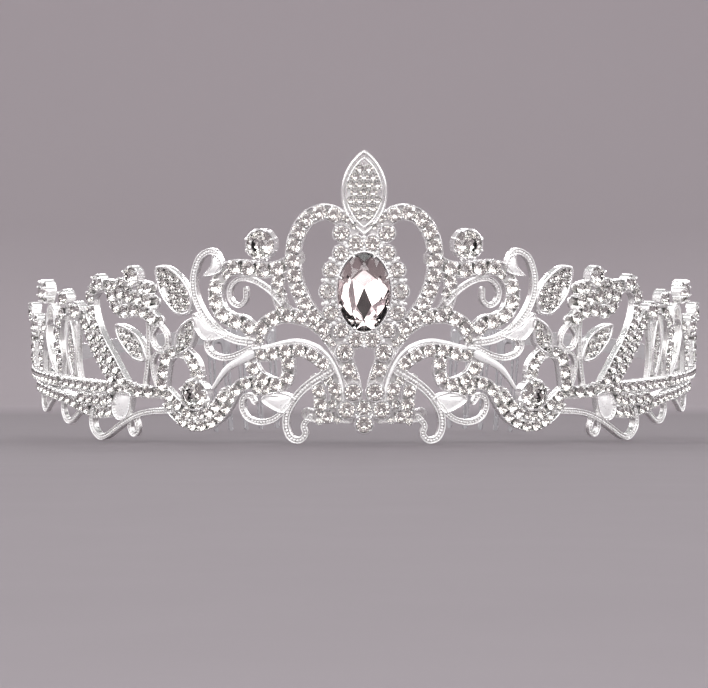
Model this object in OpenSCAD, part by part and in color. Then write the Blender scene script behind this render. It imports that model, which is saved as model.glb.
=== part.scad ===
// A crown headband of silver plated metal set with clear stones.
// The frontal is one soldered openwork panel, bent round a vertical cylinder. Its pattern is drawn
// for one half, in millimetres of arc from the middle and of height over the band, and mirrored.
// Everything is built level with the band, then tipped into the pose in which it stands by itself.

/* [Ring] */
// Radius of the cylinder on which the arc lengths of the pattern are measured
panel_r = 75; // [73:0.5:78]
// Thickness of the flat band
band_t = 1; // [0.8:0.1:1.2]
// Height of the flat band
band_h = 3.6; // [3:0.1:4.5]
// Angle from the middle of the front at which the band comes out from behind the panel
band_from = 66; // [60:1:80]

/* [Openwork] */
// Depth of the flat strips that carry the rows of stones
strip_t = 1.3; // [1.1:0.1:1.6]
// Depth of the plain polished wires
wire_t = 1.8; // [1.5:0.1:2.2]
// Width of the pointed finial
finial_w = 9.3; // [8:0.1:10]
// Height of the pointed finial
finial_h = 17; // [15:0.5:19]
// Height of the finial's middle over the band
finial_mid = 42.6; // [42:0.2:44]

/* [Stones] */
// Width of the large oval stone
centre_w = 10.4; // [10:0.1:10.8]
// Height of the large oval stone
centre_h = 15.6; // [15:0.1:16]
// Height of the large stone's middle over the band
centre_mid = 22.8; // [22.4:0.1:23.2]
// Number of round stones in the halo round the large stone
halo_count = 14; // [14:1:14]
// Diameter of the halo stones
halo_d = 2.9; // [2.7:0.1:3]

/* [Combs] */
// Width of a comb, along the ring
comb_w = 19; // [18:0.5:20]
// Height of a comb, from the band's upper edge to the tips
comb_l = 26; // [24:0.5:28]
// Thickness of the comb plate
comb_t = 0.8; // [0.6:0.1:1]
// Number of teeth on a comb
comb_teeth = 5; // [5:1:5]
// Angle of a comb's middle from the middle of the back
comb_at = 26; // [24:0.5:28]
// Sideways lean of the teeth towards the middle of the back, at the tips
comb_lean = 1.5; // [0:0.1:2]

/* [Hidden] */
$fn = 96;
table = 0.58; // width of a stone's table, as a part of the stone's
culet = 0.12; // the same of the small flat at its point
crown_part = 0.2; // height of the crown, as a part of the diameter
pavilion_part = 0.22; // depth below the girdle, as a part of the diameter
row_pavilion_part = 0.26; // the same of the stones in rows, which stand free of their strip
centre_table = 0.6;
centre_crown = 1.7;
centre_pavilion = 1.5;
centre_lift = 0.7; // of the large stone's girdle over the cups
comb_top = band_h / 2;
band_past = 3; // angle by which the band runs on past the middle of its comb
plate_h = 3; // from a comb's upper edge to where its gaps are full width
tooth_w = 2.2;
tip_w = 1;
slit_w = 0.9; // of the slit in each tooth, from one depth below the upper edge to the other
slit_from = 7.6;
slit_to = comb_l - 3.5;
joint_gap = 0.15; // between pieces that are soldered or glued on the real object
seat_gap = 0.12; // between a stone and the metal that holds it
band_r = 73; // outer face of the band
panel_back = band_r + joint_gap; // inner face of the openwork
strip_front = panel_back + strip_t;
wire_front = panel_back + wire_t;
cup_front = strip_front + 0.9; // top edge of the cups round the main stones
cup_wall = 0.3;
stone_lift = 0.1; // of the main stones' girdles over their cups, at least
centre_wall = 0.3;
centre_wall_h = 1; // of the wall round the large stone over the strips
finial_step = 0.5; // by which the finial's back stands out from the panel's
rim_h = 0.2; // of the finial's outer rim over its inner one
stem_w = 1.8;
rim_w = 0.6; // raised rim of the leaves set with fine stones
notch = 0.2; // half the width of the narrow notches between pieces that solder fills
chord_angle = 40; // turn that one straight chord of a curve may take
flats = 32; // flat sides in a full turn of the bent panel
bend = 23; // angle between the directions in which the flat pattern is pressed through the bent panel
bends = 4; // of them on each side of the middle one
overlap = 0.15; // angle by which neighbours share metal
shy = 0.05; // by which a raised rim or wall stays inside the shape that carries it
inside = panel_back - 3; // radius that everything pressed through the panel starts from
press = 12; // depth that is pressed, to in front of everything
tall = 100; // more than the height of everything
halo_room = 0.1; // between the large stone's wall and the halo's cups

// Plain wires of the right half: the stout ones that stand higher than the strips, and the thin ones
// Columns: width at the start, width at the end, route as arc and height
FROM_W = 0;
TO_W = 1;
ROUTE = 2;
RAISED_WIRES = [
    // large loop scroll with a curled end
    [1.9, 1.6, [[23.2, 12.2], [26.8, 12.6], [30.4, 14.2], [33.6, 17.1], [35.8, 21], [36.2, 25],
        [34.9, 28.8], [32.6, 30.4], [30.9, 29.9], [30.2, 28]]],
    // small C scroll inside it
    [1.4, 1.2, [[16.8, 20.4], [19.4, 22.9], [22.6, 24.7], [25.7, 25], [27.8, 23.2], [27.7, 20.7],
        [26, 19.6], [24.5, 20.8], [24.4, 23]]],
    // curl under the large loop, its end turned up as a bud
    [1.6, 1.4, [[23, 11.2], [26.6, 9.5], [29.6, 8.9], [32.2, 9.7], [33.2, 11.5], [32.2, 13]]],
    // plain spike
    [2.6, 0.7, [[23.4, 9.8], [27, 7.9], [29.4, 6], [31.9, 2.6]]],
    // plain outer rim of the lower arc
    [0.9, 0.9, [[4.3, 0.8], [4.6, 4.4], [6, 8], [8, 10.7], [10.7, 12.2], [13.6, 12.8], [16.6, 12.4],
        [19.6, 11.6], [22.6, 11]]],
    // stem of the lily, ending in the hook that the crown stands on
    [2.4, 1.4, [[6.8, 6.8], [9.8, 5], [12.4, 3], [14.4, 0.6], [15.7, -2], [15.9, -4.8], [14.9, -6.9],
        [13.1, -7.3], [11.9, -6], [12.3, -4.3], [11, -2.6]]],
    // second branch of the lily, curled up round its bud
    [1.5, 1.4, [[15.6, -0.4], [17.2, -2.2], [19.2, -3.5], [21.8, -3.9], [24.2, -3], [25.3, -1],
        [25, 0.9], [23.6, 1.4], [22.6, 0.2]]],
    // long lower wire that dips to the side foot
    [1.5, 1.5, [[41.4, -2.6], [46, -3], [50, -3.8], [53.6, -5.3], [57.2, -7.3], [60.6, -9.3],
        [63.2, -9.9], [65.4, -8.6], [66.1, -6.6], [65.4, -4.2]]],
    // loop scroll of the side
    [1.6, 1.4, [[78.4, 1.2], [82.4, 2.8], [86, 5.8], [88.1, 10], [87.8, 14.2], [85.4, 16.2],
        [83, 15.2], [82.6, 12.8]]],
];
THIN_WIRES = [
    // stems of the flower
    [1.2, 1.2, [[48.4, 17.4], [48, 13], [48.3, 7], [49.4, 1]]],
    [1, 1, [[43.4, 9], [45.6, 9.2], [47, 7.2], [46.7, 4.4], [45.4, 1.2]]],
    // small drop-shaped ring beside the flower
    [1.1, 1.1, [[45.2, 15.2], [47.1, 12.8], [46.4, 10.4], [44.6, 9.8], [43.1, 11], [43.4, 13.2],
        [45.2, 15.2]]],
    // narrow hook under the long lower wire
    [1.2, 1.2, [[52.4, -4.4], [51.3, -6.4], [51.5, -8], [52.8, -8.4], [53.7, -7], [53.4, -5]]],
    // two more dips of the side
    [1.4, 1.4, [[69.4, -4.2], [72.4, -6], [75.4, -7.8], [78, -7.8], [79.6, -6], [79.4, -3.4]]],
    [1.4, 1.4, [[84, -3], [88, -5.2], [91.6, -7.2], [94.4, -6.8], [95.4, -4.8], [94.6, -2.2]]],
    // stems of the side stones
    [1.2, 1.2, [[70.6, 0.6], [71.8, 6], [71.2, 13.6]]],
    [1.2, 1.2, [[73.2, 0.6], [76.4, 6], [77.4, 11], [76.7, 16]]],
    [1.3, 1.2, [[97.4, 0.4], [97, 7.4]]],
];

// Flat strips of the right half, set with rows of stones
// Columns: width, stone diameter, spacing, route as arc and height, how the row is set
// (as own solids here, or left as the finest stones)
STRIP_W = 0;
STONE_D = 1;
SPACING = 2;
STRIP_ROUTE = 3;
GROUP = 4;
STRIPS = [
    // heart that frames the large stone
    [3.3, 2.7, 3.05, [[2.4, 35.4], [4.3, 37], [6.4, 38.4], [8.9, 38.6], [11.6, 37.2], [13.6, 33.9],
        [14.4, 29.8], [14, 25.4], [12.5, 21.2], [10, 17.4], [7.4, 14.4], [4.9, 10.9], [3.2, 7.4],
        [2.2, 3.9], [2, 0.6]], "heart"],
    // upper arc
    [3, 2.6, 3, [[8.6, 15.4], [11.2, 17], [14.4, 17.8], [17.4, 17.6], [20.2, 16], [21.8, 13.8],
        [22.8, 11]], "scroll"],
    // lower arc inside its plain rim
    [2.8, 2.4, 2.8, [[5.6, -1], [5.7, 2], [6.4, 5], [7.9, 7.8], [10.2, 9.8], [13.2, 10.9], [16.4, 10.7],
        [19.6, 9.9], [23, 9.8]], "scroll"],
    // short rows inside the lower arc
    [2.8, 2.4, 2.8, [[15.6, 9.8], [15.4, 6.6], [16.6, 4], [19.4, 4.2], [22, 5.8], [23.4, 8.4]], "scroll"],
    [2.6, 2.2, 2.6, [[17.6, 2.6], [20.6, 2.8], [23.4, 4], [25.6, 3.4], [27.6, 1.4]], "scroll"],
    // row from the heart over to the large loop, and down beside the heart
    [3.2, 2.7, 3, [[13.6, 29.4], [16.6, 27.6], [20.4, 26.9], [24.4, 27.3], [27.8, 27.1], [30, 25],
        [31, 21.9],
        [30.2, 18.6], [27.6, 16.6], [24.6, 16], [22.6, 13.6], [22.6, 11.2]], "scroll"],
    [2.8, 2.4, 2.7, [[16.4, 26.8], [17.6, 24.2], [17.2, 21], [15.8, 18.4]], "scroll"],
    // row beside the lily's stem
    [2.8, 2.4, 2.7, [[9.8, 4.8], [8.9, 1.8], [8.8, -1.6]], "scroll"],
    // hem between the middle cluster and the hook
    [2.6, 2.2, 2.6, [[3, -2.6], [6, -2.4], [9.2, -2.6], [11.6, -2]], "scroll"],
    // two rows of the swag under the round stone
    [2.3, 2, 2.35, [[27.2, 1.6], [28.6, -1], [30.6, -3.4], [33.1, -4.9], [35.8, -5.4], [38.6, -4.7],
        [41.2, -3.1],
        [43.2, -0.8]], "swag"],
    [2.4, 2, 2.4, [[28.9, 1.9], [30.9, -0.9], [33, -2.6], [35.8, -3.2], [38.5, -2.5], [40.8, -0.8],
        [43.2, 1.2]], "fine"],
    // arch over the open window
    [2.7, 2.4, 2.75, [[35.4, 3.4], [35.7, 6.6], [37.6, 8.9], [40.4, 9.7], [42.8, 8.4], [43.7, 5.4],
        [44.2, 1.2]], "outer"],
    // flower head
    [2.8, 2.4, 2.7, [[45.6, 15.6], [48.6, 17.3], [51.8, 17.6], [55, 17.1], [57.4, 18.6],
        [58.8, 21.6]], "outer"],
    [2.8, 2.4, 2.7, [[46.6, 19.4], [49.8, 20.1], [52.8, 20.2], [55.8, 21], [59.2, 22.2],
        [62.4, 22]], "outer"],
    [2.8, 2.4, 2.7, [[47.6, 22.2], [50.6, 22.6], [53.6, 22.6], [56.6, 22.4]], "outer"],
    // rail, from the flower's last stone down to the base row
    [2.7, 2.3, 2.8, [[62.6, 22.2], [65.2, 20.4], [65.5, 17.4], [64.2, 13.8], [61.6, 10], [58.4, 6.4],
        [54.8, 2]], "outer"],
    // base row of the side
    [2.6, 2.3, 2.9, [[43.4, 1.2], [48, 0.8], [56, 0.9], [66, 0.7], [78, 0.4], [90, 0], [104, -0.4],
        [118, -0.8]], "fine"],
    // second row behind the rail
    [2.7, 2.3, 2.75, [[57.8, 2], [61, 5.4], [64, 8.8], [66.8, 12.6], [68.8, 15], [71.2, 15.8]], "fine"],
    // rows under the base row
    [2.7, 2.3, 2.7, [[57.6, -1.2], [61.6, -1.9], [66, -2.1], [71, -2]], "fine"],
    [2.7, 2.3, 2.7, [[58.4, -3.9], [62.4, -4.5], [66.4, -4.5], [70.4, -4.1], [74, -3.2], [80, -2.8],
        [88, -2.6],
        [96, -2.4]], "fine"],
    // rows of the side panel
    [2.6, 2.3, 2.7, [[79.4, 1.2], [79.6, 5.6], [80.8, 9.6], [79.6, 13.4], [76.7, 16.2]], "fine"],
    [2.6, 2.3, 2.7, [[87.2, 14], [90.4, 10.6], [92.4, 6], [92.4, 0.4]], "fine"],
    [2.6, 2.3, 2.7, [[101, 10.4], [104.6, 11.2], [108.4, 10.4], [110.2, 6.6], [108.6, 3],
        [105, 0.2]], "fine"],
    [2.7, 2.3, 2.8, [[110, 7], [113.4, 8.6], [116.8, 7.4], [118.6, 3.6], [118.4, -0.8]], "fine"],
];

// Solid leaves of the right half, with a raised rim where they are set with fine stones
// Columns: set with stones, outline as arc and height
SET = 0;
OUTLINE = 1;
LEAVES = [
    // large leaf beside the loop, and the small one under it
    [true, [[37, 17.9], [40, 17.2], [43, 19.4], [45, 22.4], [45.6, 26.6], [42.4, 27], [38.9, 24.8],
        [36.7, 21.4]]],
    [true, [[35.8, 16.8], [38.8, 15.6], [40.6, 13], [40.6, 9.6], [38.2, 9.6], [36, 12]]],
    // leaf under the flower
    [true, [[48.4, 7.4], [49.6, 11.3], [52.8, 13.7], [57.2, 14.4], [56.8, 11.6], [54.2, 8.8], [51.4, 7.2]]],
    // leaf of the side panel
    [true, [[73, 2.2], [75.2, 5.6], [75.8, 9.8], [74.2, 14], [72.6, 10], [72, 6]]],
    // plain leaves: in the curl, under the loop, in the lily and over the narrow hook
    [false, [[29.9, 29.3], [31.6, 29.8], [32.2, 27.4], [34, 25.3], [31.2, 25.6], [29.4, 26.8]]],
    [false, [[28.6, 13.4], [32.4, 15.2], [35.8, 17.8], [36.6, 16], [34.6, 12.8], [32, 12.2]]],
    [false, [[14.2, 1.2], [16.6, 2.4], [19.6, 2.2], [21.2, 0.6], [18.8, -1.2], [16.2, -1.8]]],
    [false, [[52.8, 0.2], [56.6, 0.2], [58.8, -2.6], [57.6, -5.4], [54.8, -5.6], [53, -3.2]]],
];

// Main stones in cups of their own
// Columns: name, arc, height, diameter, stands on a stem
NAME = 0;
ARC = 1;
HEIGHT = 2;
DIAMETER = 3;
PAIRED_STONES = [
    ["stem_stone", 20.9, 32.1, 5.6],
    ["swag_stone", 35.7, 1.1, 5.6],
    ["flower_stone", 52, 24.6, 3.6],
    ["rail_stone", 62.6, 22.6, 3],
    ["side_stone_a", 71.2, 16.2, 3.2],
    ["side_stone_b", 76.6, 18.4, 3.2],
    ["side_stone_c", 88.2, 19, 4.4],
    ["side_stone_d", 97, 11, 4],
    ["side_stone_e", 108.4, 12.8, 3.6],
    ["shoulder_stone", 4.5, 34.5, 3],
    ["foot_stone", 3.9, 10.7, 3.2],
    ["lower_stone", 2.2, 2.6, 3.2],
    ["bottom_stone", 3.5, -1, 3.2],
];
MIDDLE_STONES = [
    ["drop_stone", 0, -3.9, 3.2],
];
// Short stems that carry cups: route as arc and height
STEMS = [
    [[20.9, 26.6], [20.9, 29.6]],
    [[52.4, 20], [52, 23.4]],
    [[88, 12.4], [88.2, 17.4]],
    [[93.4, 6], [94.6, 9]],
    [[0, -3.9], [3.5, -1]],
];

// From the large stone's edge to the middles of the halo stones
halo_off = centre_wall + 2 * seat_gap + halo_d / 2 + halo_room;
halo_rx = centre_w / 2 + halo_off;
halo_rz = centre_h / 2 + halo_off;
HALO = [
    for (i = [0 : halo_count - 1])
        let (a = 360 * (i + 0.5) / halo_count + 90)
        [str("halo_stone_", i + 1), halo_rx * cos(a), centre_mid + halo_rz * sin(a), halo_d]
];
MAIN_STONES = concat(
    MIDDLE_STONES,
    HALO,
    [for (m = PAIRED_STONES) [str(m[NAME], "_right"), m[ARC], m[HEIGHT], m[DIAMETER]]],
    [for (m = PAIRED_STONES) [str(m[NAME], "_left"), -m[ARC], m[HEIGHT], m[DIAMETER]]]
);

// Points on the panel and curves through them

function blend(a, b, c, d, t) =
    (2 * b + (c - a) * t + (2 * a - 5 * b + 4 * c - d) * t * t + (3 * b - a - 3 * c + d) * t * t * t) / 2;

// Angle by which a route turns at a point
function turn(p, i) =
    i <= 0 || i >= len(p) - 1 ? 0 :
    let (u = p[i] - p[i - 1], v = p[i + 1] - p[i])
    acos(max(-1, min(1, u * v / norm(u) / norm(v))));

// Smooth open curve through the points of a route, with a new chord for each turn of an angle
function smooth(p, angle) =
    let (last = len(p) - 1)
    [
        for (i = [0 : last - 1])
            let (steps = max(1, round((turn(p, i) + turn(p, i + 1)) / 2 / angle)))
            for (k = [0 : steps - 1])
                blend(p[max(0, i - 1)], p[i], p[i + 1], p[min(last, i + 2)], k / steps),
        p[last],
    ];

// Smooth closed curve through the points of an outline
function smooth_loop(p, steps) =
    let (n = len(p))
    [
        for (i = [0 : n - 1])
            for (k = [0 : steps - 1])
                blend(p[(i + n - 1) % n], p[i], p[(i + 1) % n], p[(i + 2) % n], k / steps),
    ];

// Running length at each point of a curve
function lengths(p, i = 0, sum = 0) =
    i >= len(p) - 1 ? [sum] : concat([sum], lengths(p, i + 1, sum + norm(p[i + 1] - p[i])));

// Point of a curve at a given length
function point_at(p, run, want) =
    let (i = min([for (k = [1 : len(run) - 1]) if (run[k] >= want || k == len(run) - 1) k]))
    p[i - 1] + (p[i] - p[i - 1]) * (want - run[i - 1]) / (run[i] - run[i - 1]);

// Places of evenly spaced stones along a route
function row_places(route, spacing) =
    let (
        p = smooth(route, 4),
        run = lengths(p),
        total = run[len(run) - 1],
        n = max(1, round(total / spacing))
    )
    [for (i = [0 : n - 1]) point_at(p, run, total * (i + 0.5) / n)];

// What stands higher than the strips, as places and the half width there
function middle(outline) = [for (c = [0, 1]) [for (q = outline) q[c]] * [for (q = outline) 1] / len(outline)];
RAISED = concat(
    [for (w = RAISED_WIRES) for (q = smooth(w[ROUTE], 3)) [q, max(w[FROM_W], w[TO_W]) / 2]],
    [
        for (l = LEAVES)
            for (shrink = [1, 0.6, 0.2])
                for (q = smooth_loop(l[OUTLINE], 3))
                    [middle(l[OUTLINE]) + (q - middle(l[OUTLINE])) * shrink, 0.1]
    ]
);

// Stones of all rows of the right half as arc, height, diameter and group, each clear of those before it,
// of the main stones' cups and of the wires and leaves that stand higher than the strips
ROW_STONES = keep_clear([
    for (t = STRIPS)
        if (t[GROUP] != "fine")
            for (p = row_places(t[STRIP_ROUTE], t[SPACING]))
                if (clear_of_cups(p, t[STONE_D]) && clear_of_raised(p, t[STONE_D]))
                    [p.x, p.y, t[STONE_D], t[GROUP]]
]);

function keep_clear(all, i = 0, kept = []) =
    i >= len(all) ? kept :
    let (near = [for (k = kept) if (too_close(k, all[i])) k])
    keep_clear(all, i + 1, len(near) > 0 ? kept : concat(kept, [all[i]]));
function too_close(a, b) = norm([a.x - b.x, a.y - b.y]) < (a[2] + b[2]) / 2 + seat_gap;

function clear_of_cups(p, d) =
    let (room = d / 2 + cup_wall + 3 * seat_gap)
    p.x > d / 2 + seat_gap / 2 &&
    min([for (m = MAIN_STONES) norm([m[ARC], m[HEIGHT]] - p) - m[DIAMETER] / 2]) > room;

// A stone narrows below its girdle, so it may lean over the side of a wire
function clear_of_raised(p, d) = min([for (q = RAISED) norm(q[0] - p) - q[1]]) > d * 0.33 + seat_gap;

// Solids

// Moves something drawn flat, its depth along Z, to an arc length and a height on the panel, square to
// the flat side of the panel there
module on_panel(s, h, r) {
    angle = s / panel_r * 180 / PI;
    flat = round(angle * flats / 360) * 360 / flats;
    rotate([0, 0, flat])
        translate([r * tan(angle - flat), -r, h])
            rotate([90, 0, 0])
                children();
}

// Drum with flat sides at a radius
module drum(r) {
    translate([0, 0, -tall / 2])
        rotate([0, 0, 180 / flats])
            cylinder(r = r / cos(180 / flats), h = 1.5 * tall, $fn = flats);
}

// Flat shape of the whole panel pressed through the ring from a radius outwards, in one direction
// after the other
module pressed(from) {
    half = bend / 2;
    squeeze = sin(half) / (half * PI / 180);
    for (k = [-bends : bends])
        intersection() {
            rotate([0, 0, k * bend])
                rotate([90, 0, 0])
                    translate([0, 0, from])
                        linear_extrude(height = press)
                            intersection() {
                                scale([squeeze, 1])
                                    translate([-k * bend * PI / 180 * panel_r, 0])
                                        offset(delta = -notch)
                                            offset(delta = notch)
                                                children();
                                translate([-panel_r * half * PI / 180 - 1, -tall / 4])
                                    square([2 * panel_r * half * PI / 180 + 2, tall]);
                            }
            translate([0, 0, -tall / 4])
                linear_extrude(height = tall)
                    polygon([
                        [0, 0],
                        tall * heading(k * bend - half),
                        tall * heading(k * bend + half + overlap),
                    ]);
        }
}
function heading(angle) = [sin(angle), -cos(angle)];

// Strip or wire drawn flat
module ribbon(route, from_w, to_w) {
    path = smooth(route, chord_angle);
    last = len(path) - 1;
    function edge(i, side) =
        let (
            run = path[min(last, i + 1)] - path[max(0, i - 1)],
            across = [-run.y, run.x] / norm(run)
        )
        path[i] + side * across * (from_w + (to_w - from_w) * i / last) / 2;
    polygon(concat([for (i = [0 : last]) edge(i, 1)], [for (i = [last : -1 : 0]) edge(i, -1)]));
}

// Round cups, drawn flat: their bases in the panel, and the walls that stand up round the stones
module discs(stones, margin) {
    for (m = stones)
        translate([m[ARC], m[HEIGHT]])
            rotate([0, 0, 22.5])
                circle(r = m[DIAMETER] / 2 + margin, $fn = 8);
}
module cup_walls(stones) {
    difference() {
        discs(stones, seat_gap + cup_wall - shy);
        discs(stones, seat_gap);
    }
}

// Cut stone with a table, eight crown facets, eight pavilion facets and a small flat at its point.
// Each pair of opposite facets comes from one long prism, and the stone is what four prisms share.
module brilliant(r, crown, pavilion) {
    intersection() {
        facet_pair(r, crown, pavilion, 0);
        facet_pair(r, crown, pavilion, 45);
        facet_pair(r, crown, pavilion, 90);
        facet_pair(r, crown, pavilion, 135);
    }
}
module facet_pair(r, crown, pavilion, angle) {
    rotate([90, 0, angle])
        translate([0, 0, -2 * r])
            linear_extrude(height = 4 * r)
                polygon([[-r, 0], [-table * r, crown], [table * r, crown], [r, 0], [culet * r, -pavilion],
                    [-culet * r, -pavilion]]);
}

// Stone of a row, standing on its strip
module row_stone(p, d) {
    pavilion = row_pavilion_part * d;
    on_panel(p.x, p.y, strip_front + seat_gap + pavilion)
        brilliant(d / 2, crown_part * d, pavilion);
}

// Stone in a cup of its own
module main_stone(m) {
    d = m[DIAMETER];
    pavilion = pavilion_part * d;
    on_panel(m[ARC], m[HEIGHT], max(cup_front + stone_lift, strip_front + seat_gap + pavilion))
        brilliant(d / 2, crown_part * d, pavilion);
}

module row_stones(group, side) {
    for (p = ROW_STONES)
        if (p[3] == group)
            row_stone([side * p.x, p.y], p[2]);
}

// Flat shapes of the right half: what is as deep as the strips, and what stands higher
module half_low() {
    for (t = STRIPS)
        ribbon(t[STRIP_ROUTE], t[STRIP_W], t[STRIP_W]);
    for (w = THIN_WIRES)
        ribbon(w[ROUTE], w[FROM_W], w[TO_W]);
    for (l = LEAVES)
        if (l[SET])
            polygon(l[OUTLINE]);
    for (p = STEMS)
        hull()
            for (q = p)
                translate(q)
                    circle(d = stem_w, $fn = 8);
}
module half_high() {
    for (w = RAISED_WIRES)
        ribbon(w[ROUTE], w[FROM_W], w[TO_W]);
    for (l = LEAVES)
        if (l[SET])
            difference() {
                offset(delta = -shy)
                    polygon(l[OUTLINE]);
                offset(delta = -rim_w)
                    polygon(l[OUTLINE]);
            }
        else
            polygon(l[OUTLINE]);
}

// Pointed oval of the finial, drawn flat and made smaller by an inset
module finial_shape(inset) {
    w = finial_w / 2 - inset;
    h = finial_h / 2 - 1.6 * inset;
    translate([0, finial_mid])
        polygon([
            for (side = [-1, 1])
                for (t = [-1 : 1 / 3 : 0.7])
                    [-side * w * pow(1 - t * t, 0.8), side * t * h]
        ]);
}
module finial_rim(outside, inside) {
    difference() {
        finial_shape(outside);
        finial_shape(inside);
    }
}

// Oval of the large stone, larger by a margin
module centre_shape(margin) {
    translate([0, centre_mid])
        polygon([
            for (a = [0 : 22.5 : 337.5])
                [(centre_w / 2 + margin) * cos(a), (centre_h / 2 + margin) * sin(a)]
        ]);
}

module frontal() {
    color("silver") rest_pose() difference() {
        union() {
            intersection() {
                pressed(inside) {
                    half_low();
                    mirror([1, 0]) half_low();
                    discs(MAIN_STONES, seat_gap + cup_wall);
                    finial_shape(0);
                    centre_shape(seat_gap + centre_wall);
                }
                drum(strip_front);
            }
            intersection() {
                pressed(inside + 0.5) {
                    half_high();
                    mirror([1, 0]) half_high();
                }
                drum(wire_front);
            }
            difference() {
                intersection() {
                    pressed(inside + 1)
                        cup_walls(MAIN_STONES);
                    drum(cup_front);
                }
                drum(strip_front - 0.3);
            }
            on_panel(0, 0, panel_back + finial_step) {
                linear_extrude(height = strip_t + rim_h)
                    finial_rim(shy, shy + 0.4);
                linear_extrude(height = strip_t)
                    finial_rim(1, 1.4);
                linear_extrude(height = strip_t + centre_wall_h)
                    difference() {
                        centre_shape(seat_gap + centre_wall - shy);
                        centre_shape(seat_gap);
                    }
            }
        }
        drum(panel_back);
    }
}

module centre_stone() {
    function ring(scale, depth) =
        [for (a = [0 : 22.5 : 337.5]) [centre_w / 2 * scale * cos(a), centre_h / 2 * scale * sin(a), depth]];
    color("mistyrose") rest_pose()
        on_panel(0, centre_mid, cup_front + centre_lift)
            polyhedron(
                points = concat(ring(centre_table, centre_crown), ring(1, 0), [[0, 0, -centre_pavilion]]),
                faces = concat(
                    [[for (i = [15 : -1 : 0]) i]],
                    [for (i = [0 : 15]) [i, (i + 1) % 16, 16 + (i + 1) % 16, 16 + i]],
                    [for (i = [0 : 15]) [16 + i, 16 + (i + 1) % 16, 32]]
                )
            );
}

// Half of the band, from behind the panel to the middle of its comb
module band() {
    run = 180 - comb_at + band_past - band_from;
    rotate([0, 0, band_from - 90])
        rotate_extrude(angle = run)
            translate([band_r - band_t, -band_h / 2])
                square([band_t, band_h]);
}

// Comb cut through a block, flat: its top edge level with the band's, the teeth pointing down
module comb_blank() {
    pitch = (comb_w - tooth_w) / (comb_teeth - 1);
    gap_w = pitch - tooth_w;
    difference() {
        linear_extrude(height = 8)
            translate([-comb_w / 2, comb_top - plate_h - 1])
                square([comb_w, plate_h + 1]);
        for (i = [0 : comb_teeth - 2])
            translate([(i + 1 - comb_teeth / 2) * pitch, comb_top - plate_h - 1, -1])
                cylinder(d = gap_w, h = 10);
    }
    for (i = [0 : comb_teeth - 1])
        translate([(i - (comb_teeth - 1) / 2) * pitch, 0, 0])
            difference() {
                linear_extrude(height = 8)
                    tooth();
                translate([0, 0, -1])
                    linear_extrude(height = 10)
                        slit();
            }
}

// Tooth bent like a hairpin, leaning sideways to its round tip, and the slit between its two sides
function lean_at(down) = comb_lean * (down - plate_h) / (comb_l - plate_h);
module tooth() {
    tip_r = tip_w / 2;
    polygon(concat(
        [[tooth_w / 2, comb_top - plate_h + 0.5], [-tooth_w / 2, comb_top - plate_h + 0.5]],
        [for (a = [180 : 30 : 360]) [comb_lean + tip_r * cos(a), comb_top - comb_l + tip_r + tip_r * sin(a)]]
    ));
}
module slit() {
    polygon([
        [lean_at(slit_from) - slit_w / 2, comb_top - slit_from],
        [lean_at(slit_from) + slit_w / 2, comb_top - slit_from],
        [lean_at(slit_to) + slit_w / 4, comb_top - slit_to],
        [lean_at(slit_to) - slit_w / 4, comb_top - slit_to],
    ]);
}

// Comb plate bent to the inside of the band
module comb() {
    outer = band_r - band_t - joint_gap;
    rotate([0, 0, 90 - comb_at])
        intersection() {
            difference() {
                translate([0, 0, -comb_l])
                    cylinder(r = outer, h = 2 * comb_l);
                translate([0, 0, -comb_l - 1])
                    cylinder(r = outer - comb_t, h = 2 * comb_l + 2);
            }
            translate([outer - 6, 0, 0])
                rotate([90, 0, 90])
                    comb_blank();
        }
}

// Pose in which the crown stands by itself, on the outer comb teeth and on the lilies' hooks in front,
// with the origin under the middle of its length
hook_low = [12.9, -8.11]; // arc and height of a hook's lowest point
comb_in = band_r - band_t - joint_gap - comb_t;
comb_out = band_r - band_t - joint_gap;
tip_reach = (comb_w - tooth_w) / 2; // of the outer teeth from the comb's middle, before they lean
tip_height = band_h / 2 - comb_l;
comb_foot = [comb_in * cos(comb_at + asin((tip_reach - comb_lean) / comb_in)), tip_height];
hook_foot = [-wire_front * cos(hook_low.x / panel_r * 180 / PI), hook_low.y];
rest_tilt = atan((hook_foot.y - comb_foot.y) / (comb_foot.x - hook_foot.x));
rest_lift = -(comb_foot.x * sin(rest_tilt) + comb_foot.y * cos(rest_tilt));
finial_front = panel_back + finial_step + strip_t + rim_h;
front_reach = finial_front * cos(rest_tilt) + (finial_mid + finial_h / 2) * sin(rest_tilt);
rear_reach = comb_out * cos(comb_at - asin((tip_reach + comb_lean + tip_w / 2) / comb_out)) * cos(rest_tilt)
    - tip_height * sin(rest_tilt);
rest_shift = (front_reach - rear_reach) / 2;

module rest_pose() {
    translate([0, rest_shift, rest_lift])
        rotate([rest_tilt, 0, 0])
            children();
}

frontal();
color("silver") rest_pose() band();  // band_right
color("silver") rest_pose() mirror([1, 0, 0]) band();  // band_left
color("gainsboro") rest_pose() comb();  // comb_right
color("gainsboro") rest_pose() mirror([1, 0, 0]) comb();  // comb_left
centre_stone();
for (group = ["heart", "scroll", "swag", "outer"]) {
    color("white") rest_pose() row_stones(group, 1);
    color("white") rest_pose() row_stones(group, -1);
}
for (m = MAIN_STONES)
    color("white") rest_pose() main_stone(m);
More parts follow.
